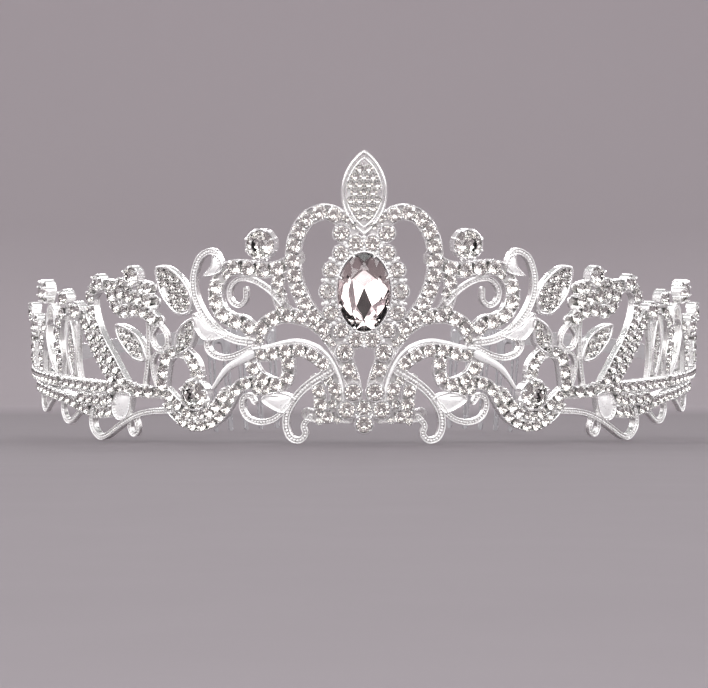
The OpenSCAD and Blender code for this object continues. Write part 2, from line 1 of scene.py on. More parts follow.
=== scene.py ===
import math
from collections import defaultdict
from itertools import groupby
import bpy
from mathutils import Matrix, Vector


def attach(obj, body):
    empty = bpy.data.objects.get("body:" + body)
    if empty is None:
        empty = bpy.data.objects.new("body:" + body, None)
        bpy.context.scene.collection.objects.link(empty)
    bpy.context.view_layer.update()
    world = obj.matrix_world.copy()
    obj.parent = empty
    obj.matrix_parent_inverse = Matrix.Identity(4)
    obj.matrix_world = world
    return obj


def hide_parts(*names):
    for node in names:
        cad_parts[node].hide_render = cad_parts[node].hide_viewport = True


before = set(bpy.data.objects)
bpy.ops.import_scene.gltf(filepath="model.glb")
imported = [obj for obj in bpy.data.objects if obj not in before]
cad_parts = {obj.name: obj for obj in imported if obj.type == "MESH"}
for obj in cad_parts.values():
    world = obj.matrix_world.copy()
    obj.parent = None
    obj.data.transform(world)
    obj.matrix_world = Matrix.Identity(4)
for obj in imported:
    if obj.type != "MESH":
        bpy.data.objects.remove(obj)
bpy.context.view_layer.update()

# Sizes in millimetres, as in the part's source
MM = 0.001
PANEL_R = 75  # radius on which arcs are measured
BAND_R = 73
PANEL_BACK = 73.15
STRIP_FLOOR = 74.0  # on which the rows of stones stand
STRIP_FRONT = 74.45
WIRE_FRONT = 74.95
CUP_FRONT = 75.35
SEAT_GAP = 0.12
CUP_WALL = 0.3
CENTRE_W = 10.4
CENTRE_H = 15.6
CENTRE_MID = 22.8
FINIAL_W = 9.3
FINIAL_H = 17
FINIAL_MID = 42.6
FINIAL_BACK = 73.65
HALO_COUNT = 14
HALO_D = 2.9
HALO_AIR = 0.1  # between the halo's cups and the large stone's seat
STEM_W = 1.8
LEAF_RIM_W = 0.6
COMB_W = 19
COMB_AT = 26  # degrees from the middle of the back
COMB_R = 71.08

# Pose of the crown at rest on its hooks and combs
REST_TILT = math.radians(6.82797)
REST_LIFT = 16.8317
REST_SHIFT = 4.92166

# Tables of the right half, as in the part's source: places are arc and height
# Plain wires: width at start and end, route
RAISED_WIRES = [
    (1.9, 1.6, [(23.2, 12.2), (26.8, 12.6), (30.4, 14.2), (33.6, 17.1), (35.8, 21), (36.2, 25), (34.9, 28.8),
        (32.6, 30.4), (30.9, 29.9), (30.2, 28)]),
    (1.4, 1.2, [(16.8, 20.4), (19.4, 22.9), (22.6, 24.7), (25.7, 25), (27.8, 23.2), (27.7, 20.7), (26, 19.6),
        (24.5, 20.8), (24.4, 23)]),
    (1.6, 1.4, [(23, 11.2), (26.6, 9.5), (29.6, 8.9), (32.2, 9.7), (33.2, 11.5), (32.2, 13)]),
    (2.6, 0.7, [(23.4, 9.8), (27, 7.9), (29.4, 6), (31.9, 2.6)]),
    (0.9, 0.9, [(4.3, 0.8), (4.6, 4.4), (6, 8), (8, 10.7), (10.7, 12.2), (13.6, 12.8), (16.6, 12.4),
        (19.6, 11.6), (22.6, 11)]),
    (2.4, 1.4, [(6.8, 6.8), (9.8, 5), (12.4, 3), (14.4, 0.6), (15.7, -2), (15.9, -4.8), (14.9, -6.9),
        (13.1, -7.3), (11.9, -6), (12.3, -4.3), (11, -2.6)]),
    (1.5, 1.4, [(15.6, -0.4), (17.2, -2.2), (19.2, -3.5), (21.8, -3.9), (24.2, -3), (25.3, -1), (25, 0.9),
        (23.6, 1.4), (22.6, 0.2)]),
    (1.5, 1.5, [(41.4, -2.6), (46, -3), (50, -3.8), (53.6, -5.3), (57.2, -7.3), (60.6, -9.3), (63.2, -9.9),
        (65.4, -8.6), (66.1, -6.6), (65.4, -4.2)]),
    (1.6, 1.4, [(78.4, 1.2), (82.4, 2.8), (86, 5.8), (88.1, 10), (87.8, 14.2), (85.4, 16.2), (83, 15.2),
        (82.6, 12.8)]),
]
THIN_WIRES = [
    (1.2, 1.2, [(48.4, 17.4), (48, 13), (48.3, 7), (49.4, 1)]),
    (1, 1, [(43.4, 9), (45.6, 9.2), (47, 7.2), (46.7, 4.4), (45.4, 1.2)]),
    (1.1, 1.1, [(45.2, 15.2), (47.1, 12.8), (46.4, 10.4), (44.6, 9.8), (43.1, 11), (43.4, 13.2),
        (45.2, 15.2)]),
    (1.2, 1.2, [(52.4, -4.4), (51.3, -6.4), (51.5, -8), (52.8, -8.4), (53.7, -7), (53.4, -5)]),
    (1.4, 1.4, [(69.4, -4.2), (72.4, -6), (75.4, -7.8), (78, -7.8), (79.6, -6), (79.4, -3.4)]),
    (1.4, 1.4, [(84, -3), (88, -5.2), (91.6, -7.2), (94.4, -6.8), (95.4, -4.8), (94.6, -2.2)]),
    (1.2, 1.2, [(70.6, 0.6), (71.8, 6), (71.2, 13.6)]),
    (1.2, 1.2, [(73.2, 0.6), (76.4, 6), (77.4, 11), (76.7, 16)]),
    (1.3, 1.2, [(97.4, 0.4), (97, 7.4)]),
]

# Strips set with rows of stones: width, stone diameter, spacing, route, group
STRIPS = [
    (3.3, 2.7, 3.05, [(2.4, 35.4), (4.3, 37), (6.4, 38.4), (8.9, 38.6), (11.6, 37.2), (13.6, 33.9),
        (14.4, 29.8), (14, 25.4), (12.5, 21.2), (10, 17.4), (7.4, 14.4), (4.9, 10.9), (3.2, 7.4), (2.2, 3.9),
        (2, 0.6)], "heart"),
    (3, 2.6, 3, [(8.6, 15.4), (11.2, 17), (14.4, 17.8), (17.4, 17.6), (20.2, 16), (21.8, 13.8), (22.8, 11)],
        "scroll"),
    (2.8, 2.4, 2.8, [(5.6, -1), (5.7, 2), (6.4, 5), (7.9, 7.8), (10.2, 9.8), (13.2, 10.9), (16.4, 10.7),
        (19.6, 9.9), (23, 9.8)], "scroll"),
    (2.8, 2.4, 2.8, [(15.6, 9.8), (15.4, 6.6), (16.6, 4), (19.4, 4.2), (22, 5.8), (23.4, 8.4)], "scroll"),
    (2.6, 2.2, 2.6, [(17.6, 2.6), (20.6, 2.8), (23.4, 4), (25.6, 3.4), (27.6, 1.4)], "scroll"),
    (3.2, 2.7, 3, [(13.6, 29.4), (16.6, 27.6), (20.4, 26.9), (24.4, 27.3), (27.8, 27.1), (30, 25),
        (31, 21.9), (30.2, 18.6), (27.6, 16.6), (24.6, 16), (22.6, 13.6), (22.6, 11.2)], "scroll"),
    (2.8, 2.4, 2.7, [(16.4, 26.8), (17.6, 24.2), (17.2, 21), (15.8, 18.4)], "scroll"),
    (2.8, 2.4, 2.7, [(9.8, 4.8), (8.9, 1.8), (8.8, -1.6)], "scroll"),
    (2.6, 2.2, 2.6, [(3, -2.6), (6, -2.4), (9.2, -2.6), (11.6, -2)], "scroll"),
    (2.3, 2, 2.35, [(27.2, 1.6), (28.6, -1), (30.6, -3.4), (33.1, -4.9), (35.8, -5.4), (38.6, -4.7),
        (41.2, -3.1), (43.2, -0.8)], "swag"),
    (2.4, 2, 2.4, [(28.9, 1.9), (30.9, -0.9), (33, -2.6), (35.8, -3.2), (38.5, -2.5), (40.8, -0.8),
        (43.2, 1.2)], "fine"),
    (2.7, 2.4, 2.75, [(35.4, 3.4), (35.7, 6.6), (37.6, 8.9), (40.4, 9.7), (42.8, 8.4), (43.7, 5.4),
        (44.2, 1.2)], "outer"),
    (2.8, 2.4, 2.7, [(45.6, 15.6), (48.6, 17.3), (51.8, 17.6), (55, 17.1), (57.4, 18.6), (58.8, 21.6)],
        "outer"),
    (2.8, 2.4, 2.7, [(46.6, 19.4), (49.8, 20.1), (52.8, 20.2), (55.8, 21), (59.2, 22.2), (62.4, 22)],
        "outer"),
    (2.8, 2.4, 2.7, [(47.6, 22.2), (50.6, 22.6), (53.6, 22.6), (56.6, 22.4)], "outer"),
    (2.7, 2.3, 2.8, [(62.6, 22.2), (65.2, 20.4), (65.5, 17.4), (64.2, 13.8), (61.6, 10), (58.4, 6.4),
        (54.8, 2)], "outer"),
    (2.6, 2.3, 2.9, [(43.4, 1.2), (48, 0.8), (56, 0.9), (66, 0.7), (78, 0.4), (90, 0), (104, -0.4),
        (118, -0.8)], "fine"),
    (2.7, 2.3, 2.75, [(57.8, 2), (61, 5.4), (64, 8.8), (66.8, 12.6), (68.8, 15), (71.2, 15.8)], "fine"),
    (2.7, 2.3, 2.7, [(57.6, -1.2), (61.6, -1.9), (66, -2.1), (71, -2)], "fine"),
    (2.7, 2.3, 2.7, [(58.4, -3.9), (62.4, -4.5), (66.4, -4.5), (70.4, -4.1), (74, -3.2), (80, -2.8),
        (88, -2.6), (96, -2.4)], "fine"),
    (2.6, 2.3, 2.7, [(79.4, 1.2), (79.6, 5.6), (80.8, 9.6), (79.6, 13.4), (76.7, 16.2)], "fine"),
    (2.6, 2.3, 2.7, [(87.2, 14), (90.4, 10.6), (92.4, 6), (92.4, 0.4)], "fine"),
    (2.6, 2.3, 2.7, [(101, 10.4), (104.6, 11.2), (108.4, 10.4), (110.2, 6.6), (108.6, 3), (105, 0.2)],
        "fine"),
    (2.7, 2.3, 2.8, [(110, 7), (113.4, 8.6), (116.8, 7.4), (118.6, 3.6), (118.4, -0.8)], "fine"),
]

# Leaves: stone diameter or 0, distance of the beads inside its rim or 0, outline
LEAVES = [
    (1.9, 0, [(37, 17.9), (40, 17.2), (43, 19.4), (45, 22.4), (45.6, 26.6), (42.4, 27), (38.9, 24.8),
        (36.7, 21.4)]),
    (1.7, 0, [(35.8, 16.8), (38.8, 15.6), (40.6, 13), (40.6, 9.6), (38.2, 9.6), (36, 12)]),
    (1.7, 0, [(48.4, 7.4), (49.6, 11.3), (52.8, 13.7), (57.2, 14.4), (56.8, 11.6), (54.2, 8.8),
        (51.4, 7.2)]),
    (1.4, 0, [(73, 2.2), (75.2, 5.6), (75.8, 9.8), (74.2, 14), (72.6, 10), (72, 6)]),
    (0, 0, [(29.9, 29.3), (31.6, 29.8), (32.2, 27.4), (34, 25.3), (31.2, 25.6), (29.4, 26.8)]),
    (0, 0, [(28.6, 13.4), (32.4, 15.2), (35.8, 17.8), (36.6, 16), (34.6, 12.8), (32, 12.2)]),
    (0, 0, [(14.2, 1.2), (16.6, 2.4), (19.6, 2.2), (21.2, 0.6), (18.8, -1.2), (16.2, -1.8)]),
    (0, 0.62, [(52.8, 0.2), (56.6, 0.2), (58.8, -2.6), (57.6, -5.4), (54.8, -5.6), (53, -3.2)]),
]

# Main stones: name, arc, height, diameter
PAIRED_STONES = [
    ("stem_stone", 20.9, 32.1, 5.6),
    ("swag_stone", 35.7, 1.1, 5.6),
    ("flower_stone", 52, 24.6, 3.6),
    ("rail_stone", 62.6, 22.6, 3),
    ("side_stone_a", 71.2, 16.2, 3.2),
    ("side_stone_b", 76.6, 18.4, 3.2),
    ("side_stone_c", 88.2, 19, 4.4),
    ("side_stone_d", 97, 11, 4),
    ("side_stone_e", 108.4, 12.8, 3.6),
    ("shoulder_stone", 4.5, 34.5, 3),
    ("foot_stone", 3.9, 10.7, 3.2),
    ("lower_stone", 2.2, 2.6, 3.2),
    ("bottom_stone", 3.5, -1, 3.2),
]
# Bars that carry single stones: start, end
STEMS = [
    [(20.9, 26.6), (20.9, 29.6)],
    [(52.4, 20), (52, 23.4)],
    [(88, 12.4), (88.2, 17.4)],
    [(93.4, 6), (94.6, 9)],
    [(0, -3.9), (3.5, -1)],
]


def circle(count, skew=0.0):
    """Cosines and sines of even turns."""
    turns = [2 * math.pi * (k + skew) / count for k in range(count)]
    return [(math.cos(a), math.sin(a)) for a in turns]


def oval(margin, count, skew=0.0):
    """Oval round the large stone, at a margin from its edge."""
    w, h = CENTRE_W / 2 + margin, CENTRE_H / 2 + margin
    return [(w * c, CENTRE_MID + h * s) for c, s in circle(count, skew)]


HALO_OFF = CUP_WALL + 2 * SEAT_GAP + HALO_D / 2 + HALO_AIR
HALO = [
    (f"halo_stone_{i + 1}", *place, HALO_D)
    for i, place in enumerate(oval(HALO_OFF, HALO_COUNT, 0.5 + HALO_COUNT / 4))
]
MAIN_STONES = [("drop_stone", 0, -3.9, 3.2)] + HALO
for side, sign in (("right", 1), ("left", -1)):
    MAIN_STONES += [(f"{name}_{side}", sign * s, h, d) for name, s, h, d in PAIRED_STONES]


# Places on the crown

def at_rest(x, y, z):
    """Point in metres, once the crown rests, of one in millimetres."""
    return Vector((
        x,
        y * math.cos(REST_TILT) - z * math.sin(REST_TILT) + REST_SHIFT,
        y * math.sin(REST_TILT) + z * math.cos(REST_TILT) + REST_LIFT,
    )) * MM


def panel(s, h, r):
    """Point of the bent panel at an arc, a height and a radius."""
    a = s / PANEL_R
    return at_rest(r * math.sin(a), -r * math.cos(a), h)


def flat(x, h, r):
    """Point of the flat plate in the middle."""
    return at_rest(x, -r, h)


class Seat:
    """Frame on the bent panel or the flat plate: x along the metal, y up and z out of it."""

    def __init__(self, s, h, r, bent=True):
        self.a = s / PANEL_R if bent else 0
        self.x = r * math.sin(self.a) if bent else s
        self.y = -r * math.cos(self.a)
        self.h = h

    def point(self, x, y, z):
        return at_rest(
            self.x + x * math.cos(self.a) + z * math.sin(self.a),
            self.y + x * math.sin(self.a) - z * math.cos(self.a),
            self.h + y,
        )


# Curves

FINE_TURN = 1.5  # degrees from chord to chord
ROW_TURN = 4
HEADING_REACH = 0.2  # on both sides of a place, to take its heading from


def blend(a, b, c, d, t):
    """Point between the middle two of four, on a smooth curve."""
    return tuple(
        (2 * b[k] + (c[k] - a[k]) * t + (2 * a[k] - 5 * b[k] + 4 * c[k] - d[k]) * t * t
         + (3 * b[k] - a[k] - 3 * c[k] + d[k]) * t ** 3) / 2
        for k in (0, 1)
    )


def away(p, q):
    return math.hypot(p[0] - q[0], p[1] - q[1])


def towards(p, q):
    length = away(p, q) or 1
    return (q[0] - p[0]) / length, (q[1] - p[1]) / length


def between(p, q, t):
    return tuple(p[k] + (q[k] - p[k]) * t for k in (0, 1))


def turn(p, i):
    """Angle in degrees by which a route turns at a point."""
    if i <= 0 or i >= len(p) - 1:
        return 0
    u, v = towards(p[i - 1], p[i]), towards(p[i], p[i + 1])
    return math.degrees(math.acos(max(-1, min(1, u[0] * v[0] + u[1] * v[1]))))


def smooth(p, angle):
    """Curve through a route's points, with a chord for each turn of an angle."""
    last = len(p) - 1
    out = []
    for i in range(last):
        steps = max(1, math.floor((turn(p, i) + turn(p, i + 1)) / 2 / angle + 0.5))
        for k in range(steps):
            out.append(blend(p[max(0, i - 1)], p[i], p[i + 1], p[min(last, i + 2)], k / steps))
    return out + [p[last]]


def smooth_loop(p, steps):
    """Closed curve through an outline's points, with some chords for each."""
    n = len(p)
    return [
        blend(p[i - 1], p[i], p[(i + 1) % n], p[(i + 2) % n], k / steps)
        for i in range(n) for k in range(steps)
    ]


def run_of(line):
    """Length of a line up to each of its points."""
    run = [0]
    for a, b in zip(line, line[1:]):
        run.append(run[-1] + away(a, b))
    return run


def point_at(line, run, want):
    """Point of a line at a length from its start."""
    i = next((k for k in range(1, len(run)) if run[k] >= want), len(run) - 1)
    return between(line[i - 1], line[i], (want - run[i - 1]) / (run[i] - run[i - 1]))


def even(line, step):
    """Evenly spaced places along a line."""
    run = run_of(line)
    n = max(2, round(run[-1] / step))
    return [point_at(line, run, run[-1] * k / n) for k in range(n + 1)]


def row_places(route, spacing):
    """Places and headings of the stones of a row."""
    line = smooth(route, ROW_TURN)
    run = run_of(line)
    n = max(1, math.floor(run[-1] / spacing + 0.5))
    places = []
    for i in range(n):
        want = run[-1] * (i + 0.5) / n
        ahead = point_at(line, run, min(run[-1], want + HEADING_REACH))
        behind = point_at(line, run, max(0, want - HEADING_REACH))
        places.append((point_at(line, run, want), math.atan2(ahead[1] - behind[1], ahead[0] - behind[0])))
    return places


def normals(path, closed=False):
    """Directions across a path, to its left."""
    before = (path[-1:] if closed else path[:1]) + path[:-1]
    after = path[1:] + (path[:1] if closed else path[-1:])
    return [(-u[1], u[0]) for u in map(towards, before, after)]


def beside(path, by, closed=False):
    """Line to the left of a path, or inside an anticlockwise outline."""
    return [(p[0] + n[0] * by, p[1] + n[1] * by) for p, n in zip(path, normals(path, closed))]


def middle(outline):
    return tuple(sum(q[k] for q in outline) / len(outline) for k in (0, 1))


def sides_of(loop):
    return zip(loop, loop[1:] + loop[:1])


def anticlockwise(outline):
    area = sum(a[0] * b[1] - b[0] * a[1] for a, b in sides_of(outline))
    return outline if area > 0 else outline[::-1]


def inside(p, outline):
    hit = False
    for a, b in sides_of(outline):
        if (a[1] > p[1]) != (b[1] > p[1]):
            if p[0] < a[0] + (b[0] - a[0]) * (p[1] - a[1]) / (b[1] - a[1]):
                hit = not hit
    return hit


# Meshes

# Materials of metal pieces and of stones, in the order of their marks
METAL_LOOK = ["polished_silver", "satin_silver", "shaded_silver", "cast_silver"]
# the third mark gives painted shade: the darker shaded_silver on side walls, channel floors and the plates
# between stones
PLAIN, SATIN, PAINTED_SHADE, BACK = range(4)
STONE_LOOK = ["clear_glass", "mirror_foil", "polished_silver"]
LARGE_STONE_LOOK = ["rose_glass", "mirror_foil", "polished_silver", "painted_dark_facet"]
GLASS, FOIL, CLAW, SHADE = range(4)
LOOKS = {}  # the new materials by name


class Shape:
    """Points, faces and their materials."""

    def __init__(self):
        self.points = []
        self.faces = []
        self.marks = []

    def add(self, points, faces, marks=PLAIN):
        base = len(self.points)
        self.points.extend(points)
        self.faces.extend([tuple(base + i for i in f) for f in faces])
        self.marks.extend(marks if isinstance(marks, list) else [marks] * len(faces))

    def mirrored(self):
        other = Shape()
        other.points = [Vector((-p.x, p.y, p.z)) for p in self.points]
        other.faces = [tuple(reversed(f)) for f in self.faces]
        other.marks = list(self.marks)
        return other

    def join(self, other):
        self.add(other.points, other.faces, other.marks)

    def build(self, name, looks=STONE_LOOK, slot="clear_stone", shade=None, replaces=()):
        """Makes the object, smooth up to an angle where one is given."""
        mesh = bpy.data.meshes.new(name)
        mesh.from_pydata(self.points, [], self.faces)
        for look in looks:
            mesh.materials.append(LOOKS[look])
        mesh.polygons.foreach_set("material_index", self.marks)
        mesh.polygons.foreach_set("use_smooth", [shade is not None] * len(self.faces))
        mesh.update()
        if shade is not None:
            mesh.set_sharp_from_angle(angle=math.radians(shade))
        piece = bpy.data.objects.new(name, mesh)
        bpy.context.scene.collection.objects.link(piece)
        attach(piece, "root")
        if replaces:
            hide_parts(*replaces)


def skin(rings, sides, closed=False):
    """Faces between rings, and over both ends unless the last ring meets the first."""
    faces = []
    for i in range(rings if closed else rings - 1):
        here, there = i * sides, (i + 1) % rings * sides
        for k in range(sides):
            n = (k + 1) % sides
            faces.append((here + k, here + n, there + n, there + k))
    if not closed:
        faces += [tuple(reversed(range(sides))), tuple(range((rings - 1) * sides, rings * sides))]
    return faces


def sweep(shape, path, halves, profile, put=panel, closed=False, mark=PLAIN, darker=()):
    """Sweeps a profile along a path. Its first face is the back, but in a ring on the flat plate."""
    points = []
    for p, n, half in zip(path, normals(path, closed), halves):
        points += [put(p[0] + a * n[0], p[1] + a * n[1], r) for a, r in profile(half)]
    sides = len(points) // len(path)
    backed = put is not flat or not closed
    # the faces listed in darker get painted shade
    marks = [BACK if k == 0 and backed else PAINTED_SHADE if k in darker else mark for k in range(sides)]
    faces = skin(len(path), sides, closed)
    shape.add(points, faces, marks * (len(faces) // sides) + ([] if closed else [mark, mark]))


END_TURNS = (0.5, 1.0, 1.45)  # angles of the points that round off an end


def with_round_ends(path, halves):
    """A path and its half widths, with a half circle at each end."""
    path, halves = list(path), list(halves)
    for _ in range(2):
        a, u, half = path[-1], towards(path[-2], path[-1]), halves[-1]
        for t in END_TURNS:
            path.append((a[0] + u[0] * half * math.sin(t), a[1] + u[1] * half * math.sin(t)))
            halves.append(half * math.cos(t))
        path.reverse()
        halves.reverse()
    return path, halves


def both(right):
    """Profile of a right half and its mirror image. It starts at the left end of the back."""
    left = [(-x, r) for x, r in reversed(right)]
    return left[-1:] + right + left[:-1]


def domed(back, shoulder, top):
    """Profile with a domed front."""
    side = back + 0.15
    rise = top - shoulder

    def profile(half):
        arch = [(half * c, shoulder + rise * s) for c, s in circle(12)[:7]]
        return [(-half + 0.1 * half, back), (half - 0.1 * half, back), (half, side)] + arch + [(-half, side)]
    return profile


EDGE_W = 0.3  # of the walls on both sides of a channel
EDGE = [(0, -0.2), (0.15, -0.06), (0.45, 0), (0.8, -0.07), (1, -0.2)]  # part of a wall's width, height


def grooved(back, top, groove):
    """Profile with a channel for beads between two rounded edges."""
    side = back + 0.12

    def profile(half):
        wall = min(EDGE_W, 0.36 * half)
        edge = [(half - wall * x, top + z) for x, z in EDGE]
        return both([(half - 0.1, back), (half, side)] + edge + [(half - wall, groove)])
    return profile


def plate(back, front):
    """Profile of a flat plate with eased edges."""
    back_ease, front_ease = 0.12, 0.06

    def profile(half):
        return both([(half - back_ease, back), (half, back + back_ease), (half, front - front_ease),
                     (half - front_ease, front)])
    return profile


# Recessed faces of these profiles, which get painted shade: side walls and the floors of channels
DARK_OF_PLATE = (2, 4, 6)
DARK_OF_GROOVE = (2, 7, 8, 9, 14)
DARK_OF_DOME = (2, 9)


def lathe(shape, seat, outline, sides):
    """Solid turned about a seat's axis."""
    points = [seat.point(r * c, r * s, z) for r, z in outline[1:-1] for c, s in circle(sides)]
    shape.add(points, skin(len(outline) - 2, sides))
    shape.marks[-2] = BACK


DOME_RINGS = (0.85, 0.65, 0.4, 0.15)  # sizes of the outline on the way to the middle


def filled(shape, outline, back, front, dome, put=panel, mark=PLAIN):
    """Plate whose front rises to its middle."""
    c = middle(outline)
    n = len(outline)
    rings = [(1, back), (1, front)] + [(k, front + dome * (1 - k * k)) for k in DOME_RINGS]
    points = [put(*between(c, q, k), r) for k, r in rings for q in outline]
    marks = [PLAIN] * n + [mark] * n * (len(rings) - 2) + [BACK, mark]
    shape.add(points, skin(len(rings), n), marks)


BEAD_RINGS = ((0.72, 0.7, 0), (0.15, 1.0, 0.5), (-0.6, 0.8, 0))  # height and width for a size of 1, skew


def bead(shape, put, s, h, r, size):
    """Bead, half sunk in what carries it."""
    sides = 6
    points = [put(s, h, r + size)]
    for z, w, skew in BEAD_RINGS:
        points += [put(s + w * size * x, h + w * size * y, r + z * size) for x, y in circle(sides, skew)]
    following = [(k, (k + 1) % sides) for k in range(sides)]
    top, wide, low = 1, 1 + sides, 1 + 2 * sides
    faces = [(0, top + k, top + j) for k, j in following]
    for k, j in following:
        faces += [(top + k, wide + k, top + j), (top + j, wide + k, wide + j)]
    for k, j in following:
        faces += [(wide + k, low + k, low + j), (wide + k, low + j, wide + j)]
    faces.append(tuple(reversed(range(low, low + sides))))
    shape.add(points, faces)


# Stones

# Parts of a stone's width
TABLE = 0.56
BREAK = 0.8  # ring on which the facets round the table meet those of the girdle
LOWER = 0.34  # the same behind
GIRDLE = 0.025
CROWN = 0.2
ROW_DEPTH = 0.42
MAIN_DEPTH = 0.4
SMALL_DEPTH = 0.3
ROW_LIFT = 0.26  # of a girdle over what carries the stone
MAIN_LIFT = 0.22
ROW_CLAW = 0.09

ROW_GROWTH = 1.06  # the stones of a row nearly touch
CLAW_SPREAD = 50  # degrees from the row's heading
BREAK_TOP = 0.8  # greatest height of the ring of breaks, as a part of the crown's
ROW_AIR = 0.05  # between a stone's point and the metal
MAIN_AIR = 0.04


def brilliant(shape, seat, rx, ry, crown, pavilion, sides=8, table=TABLE):
    """Round or oval cut stone: table, star, kite and girdle facets, and foiled facets behind."""
    def ring(scale, z, count, skew=0.0):
        return [seat.point(rx * scale * c, ry * scale * s, z) for c, s in circle(count, skew)]

    near = math.cos(math.pi / sides)
    break_z = min(crown * (1 - BREAK * near) / (1 - table), crown * BREAK_TOP)
    girdle = 2 * GIRDLE * rx
    points = (
        ring(table, crown, sides) + ring(BREAK, break_z, sides, 0.5)
        + ring(1, 0, 2 * sides) + ring(1, -girdle, 2 * sides)
        + ring(LOWER, -girdle - (pavilion - girdle) * (1 - LOWER * near), sides, 0.5)
        + [seat.point(0, 0, -pavilion)]
    )
    m, g, b, w, tip = sides, 2 * sides, 4 * sides, 6 * sides, 7 * sides
    front, back = [tuple(range(sides))], []
    for k in range(sides):
        n, last = (k + 1) % sides, (k - 1) % sides
        g0, g1, g2 = g + 2 * k, g + 2 * k + 1, g + 2 * n
        b0, b1, b2 = b + 2 * k, b + 2 * k + 1, b + 2 * n
        front += [
            (k, m + k, n), (k, m + last, g0), (k, g0, m + k), (m + k, g0, g1), (m + k, g1, g2),
            (g0, b0, b1, g1), (g1, b1, b2, g2),
        ]
        back += [(b0, w + k, b1), (b1, w + k, b2), (b0, w + last, w + k), (w + last, tip, w + k)]
    shape.add(points, front + back, [GLASS] * len(front) + [FOIL] * len(back))


# The large stone's back, as parts of its half width, half height and depth: a long rhombus below
# its middle, and a ring of broad facets
RHOMBUS = [(0, 0.14, -0.84), (-0.3, -0.34, -0.44), (0, -0.68, -0.16), (0.3, -0.34, -0.44)]
UPPER = [(0.44, 0.34, -0.92), (0, 0.58, -1.0), (-0.44, 0.34, -0.92)]


def large_cut(shape, seat, rx, ry, crown, depth, sides, table):
    """Oval stone with the front of a brilliant and a few broad facets behind."""
    front = Shape()
    brilliant(front, seat, rx, ry, crown, depth, sides, table)
    kept = [f for f, mark in zip(front.faces, front.marks) if mark == GLASS]
    girdle = 4 * sides
    points = front.points[:6 * sides]
    inner = [RHOMBUS[2], RHOMBUS[3]] + UPPER + [RHOMBUS[1]]
    tip = len(points)
    points += [seat.point(x * rx, y * ry, z * depth) for x, y, z in inner + [RHOMBUS[0]]]
    top = tip + len(inner)
    back = [(tip, tip + 1, top, tip + 5)] + [(tip + k, tip + k + 1, top) for k in range(1, 5)]

    def nearest(k):
        a = 2 * math.pi * k / (2 * sides)
        turns = [(math.atan2(y, x) - a + math.pi) % (2 * math.pi) - math.pi for x, y, z in inner]
        return min(range(len(inner)), key=lambda i: abs(turns[i]))

    for k in range(2 * sides):
        n = (k + 1) % (2 * sides)
        i, j = nearest(k), nearest(n)
        if i != j:
            back.append((girdle + n, tip + j, tip + i))
        back.append((girdle + k, girdle + n, tip + i))
    faces = kept + [tuple(reversed(f)) for f in back]
    # the rhombus facet has no foil and gets the SHADE mark: a near-black painted reflection
    shape.add(points, faces, [GLASS] * len(kept) + [SHADE] + [FOIL] * (len(back) - 1))


def claw(shape, seat, angle, out, low, high, size, reach):
    """Claw that bends in over a stone's edge."""
    sides = 6
    # Distance from the stone's middle, height, half width, lean in radians
    path = [
        (out, low, size, 0), (out, high * 0.2, size, 0), (out - 0.25 * reach, high * 0.75, size * 0.95, 0.5),
        (out - 0.7 * reach, high, size * 0.8, 1.0), (out - reach, high * 0.98, size * 0.5, 1.3),
    ]
    ca, sa = math.cos(angle), math.sin(angle)
    points = []
    for r, z, w, lean in path:
        for c, s in circle(sides):
            x, y = r + w * c * math.cos(lean), w * s
            points.append(seat.point(x * ca - y * sa, x * sa + y * ca, z + w * c * math.sin(lean)))
    shape.add(points, skin(len(path), sides), CLAW)


def row_stone(shape, s, h, d, heading):
    """Stone of a row in four claws."""
    d *= ROW_GROWTH
    girdle = STRIP_FRONT + SEAT_GAP + ROW_LIFT * d
    seat = Seat(s, h, girdle)
    brilliant(shape, seat, d / 2, d / 2, CROWN * d, min(ROW_DEPTH * d, girdle - STRIP_FLOOR - ROW_AIR))
    size = ROW_CLAW * d
    for side in (-1, 1):
        for off in (0, math.pi):
            claw(shape, seat, heading + off + side * math.radians(CLAW_SPREAD), d / 2 + size * 0.45,
                 STRIP_FLOOR - girdle, 0.12 * d, size, size)


def main_girdle(d):
    """Radius of a main stone's girdle."""
    return max(CUP_FRONT + 0.1, STRIP_FRONT + SEAT_GAP + MAIN_LIFT * d)


def main_stone(shape, s, h, d):
    """Stone in a cup of its own, with claws over its edge."""
    girdle = main_girdle(d)
    seat = Seat(s, h, girdle)
    brilliant(shape, seat, d / 2, d / 2, CROWN * d, min(MAIN_DEPTH * d, girdle - STRIP_FLOOR - MAIN_AIR))
    count = 8 if d > 4 else 6 if d > 3.3 else 4
    size = 0.26 if d < 4 else 0.34
    for k in range(count):
        claw(shape, seat, 2 * math.pi * (k + 0.5) / count, d / 2 + SEAT_GAP + 0.12, PANEL_BACK + 0.4 - girdle,
             0.17 * d, size, 0.42)


def small_stone(shape, seat, d):
    """Stone of a set field, with four grains over its edge."""
    brilliant(shape, seat, d / 2, d / 2, CROWN * d, SMALL_DEPTH * d)
    for k in range(4):
        claw(shape, seat, math.pi * (k + 0.5) / 2, d / 2 + 0.04, -0.7, 0.14 * d, 0.14, 0.12)


# Rows of stones

CELL = 4  # width of the cells that sort places
FILLERS = (0.95, 0.8, 0.65)  # sizes of the stones that close up a row, as parts of its own
EDGE_FILLERS = (1.7, 1.4, 1.2)  # sizes of the fine stones beside a row's middle line
EDGE_OFFSETS = (-0.8, -0.4, 0.4, 0.8)  # their distances from that line
FILL_STEP = 0.25
FILL_GAP = 0.06
STONE_FOOT = 0.33  # room for half a stone beside a wire, as a part of its width


def taken_spots():
    """Places of wires and leaves, with the half width that they keep free."""
    spots = []
    for start, end, route in RAISED_WIRES:
        spots += [(q, max(start, end) / 2) for q in smooth(route, 3)]
    for _, _, outline in LEAVES:
        c = middle(outline)
        for shrink in (1, 0.6, 0.2):
            spots += [(between(c, q, shrink), 0.1) for q in smooth_loop(outline, 3)]
    return spots


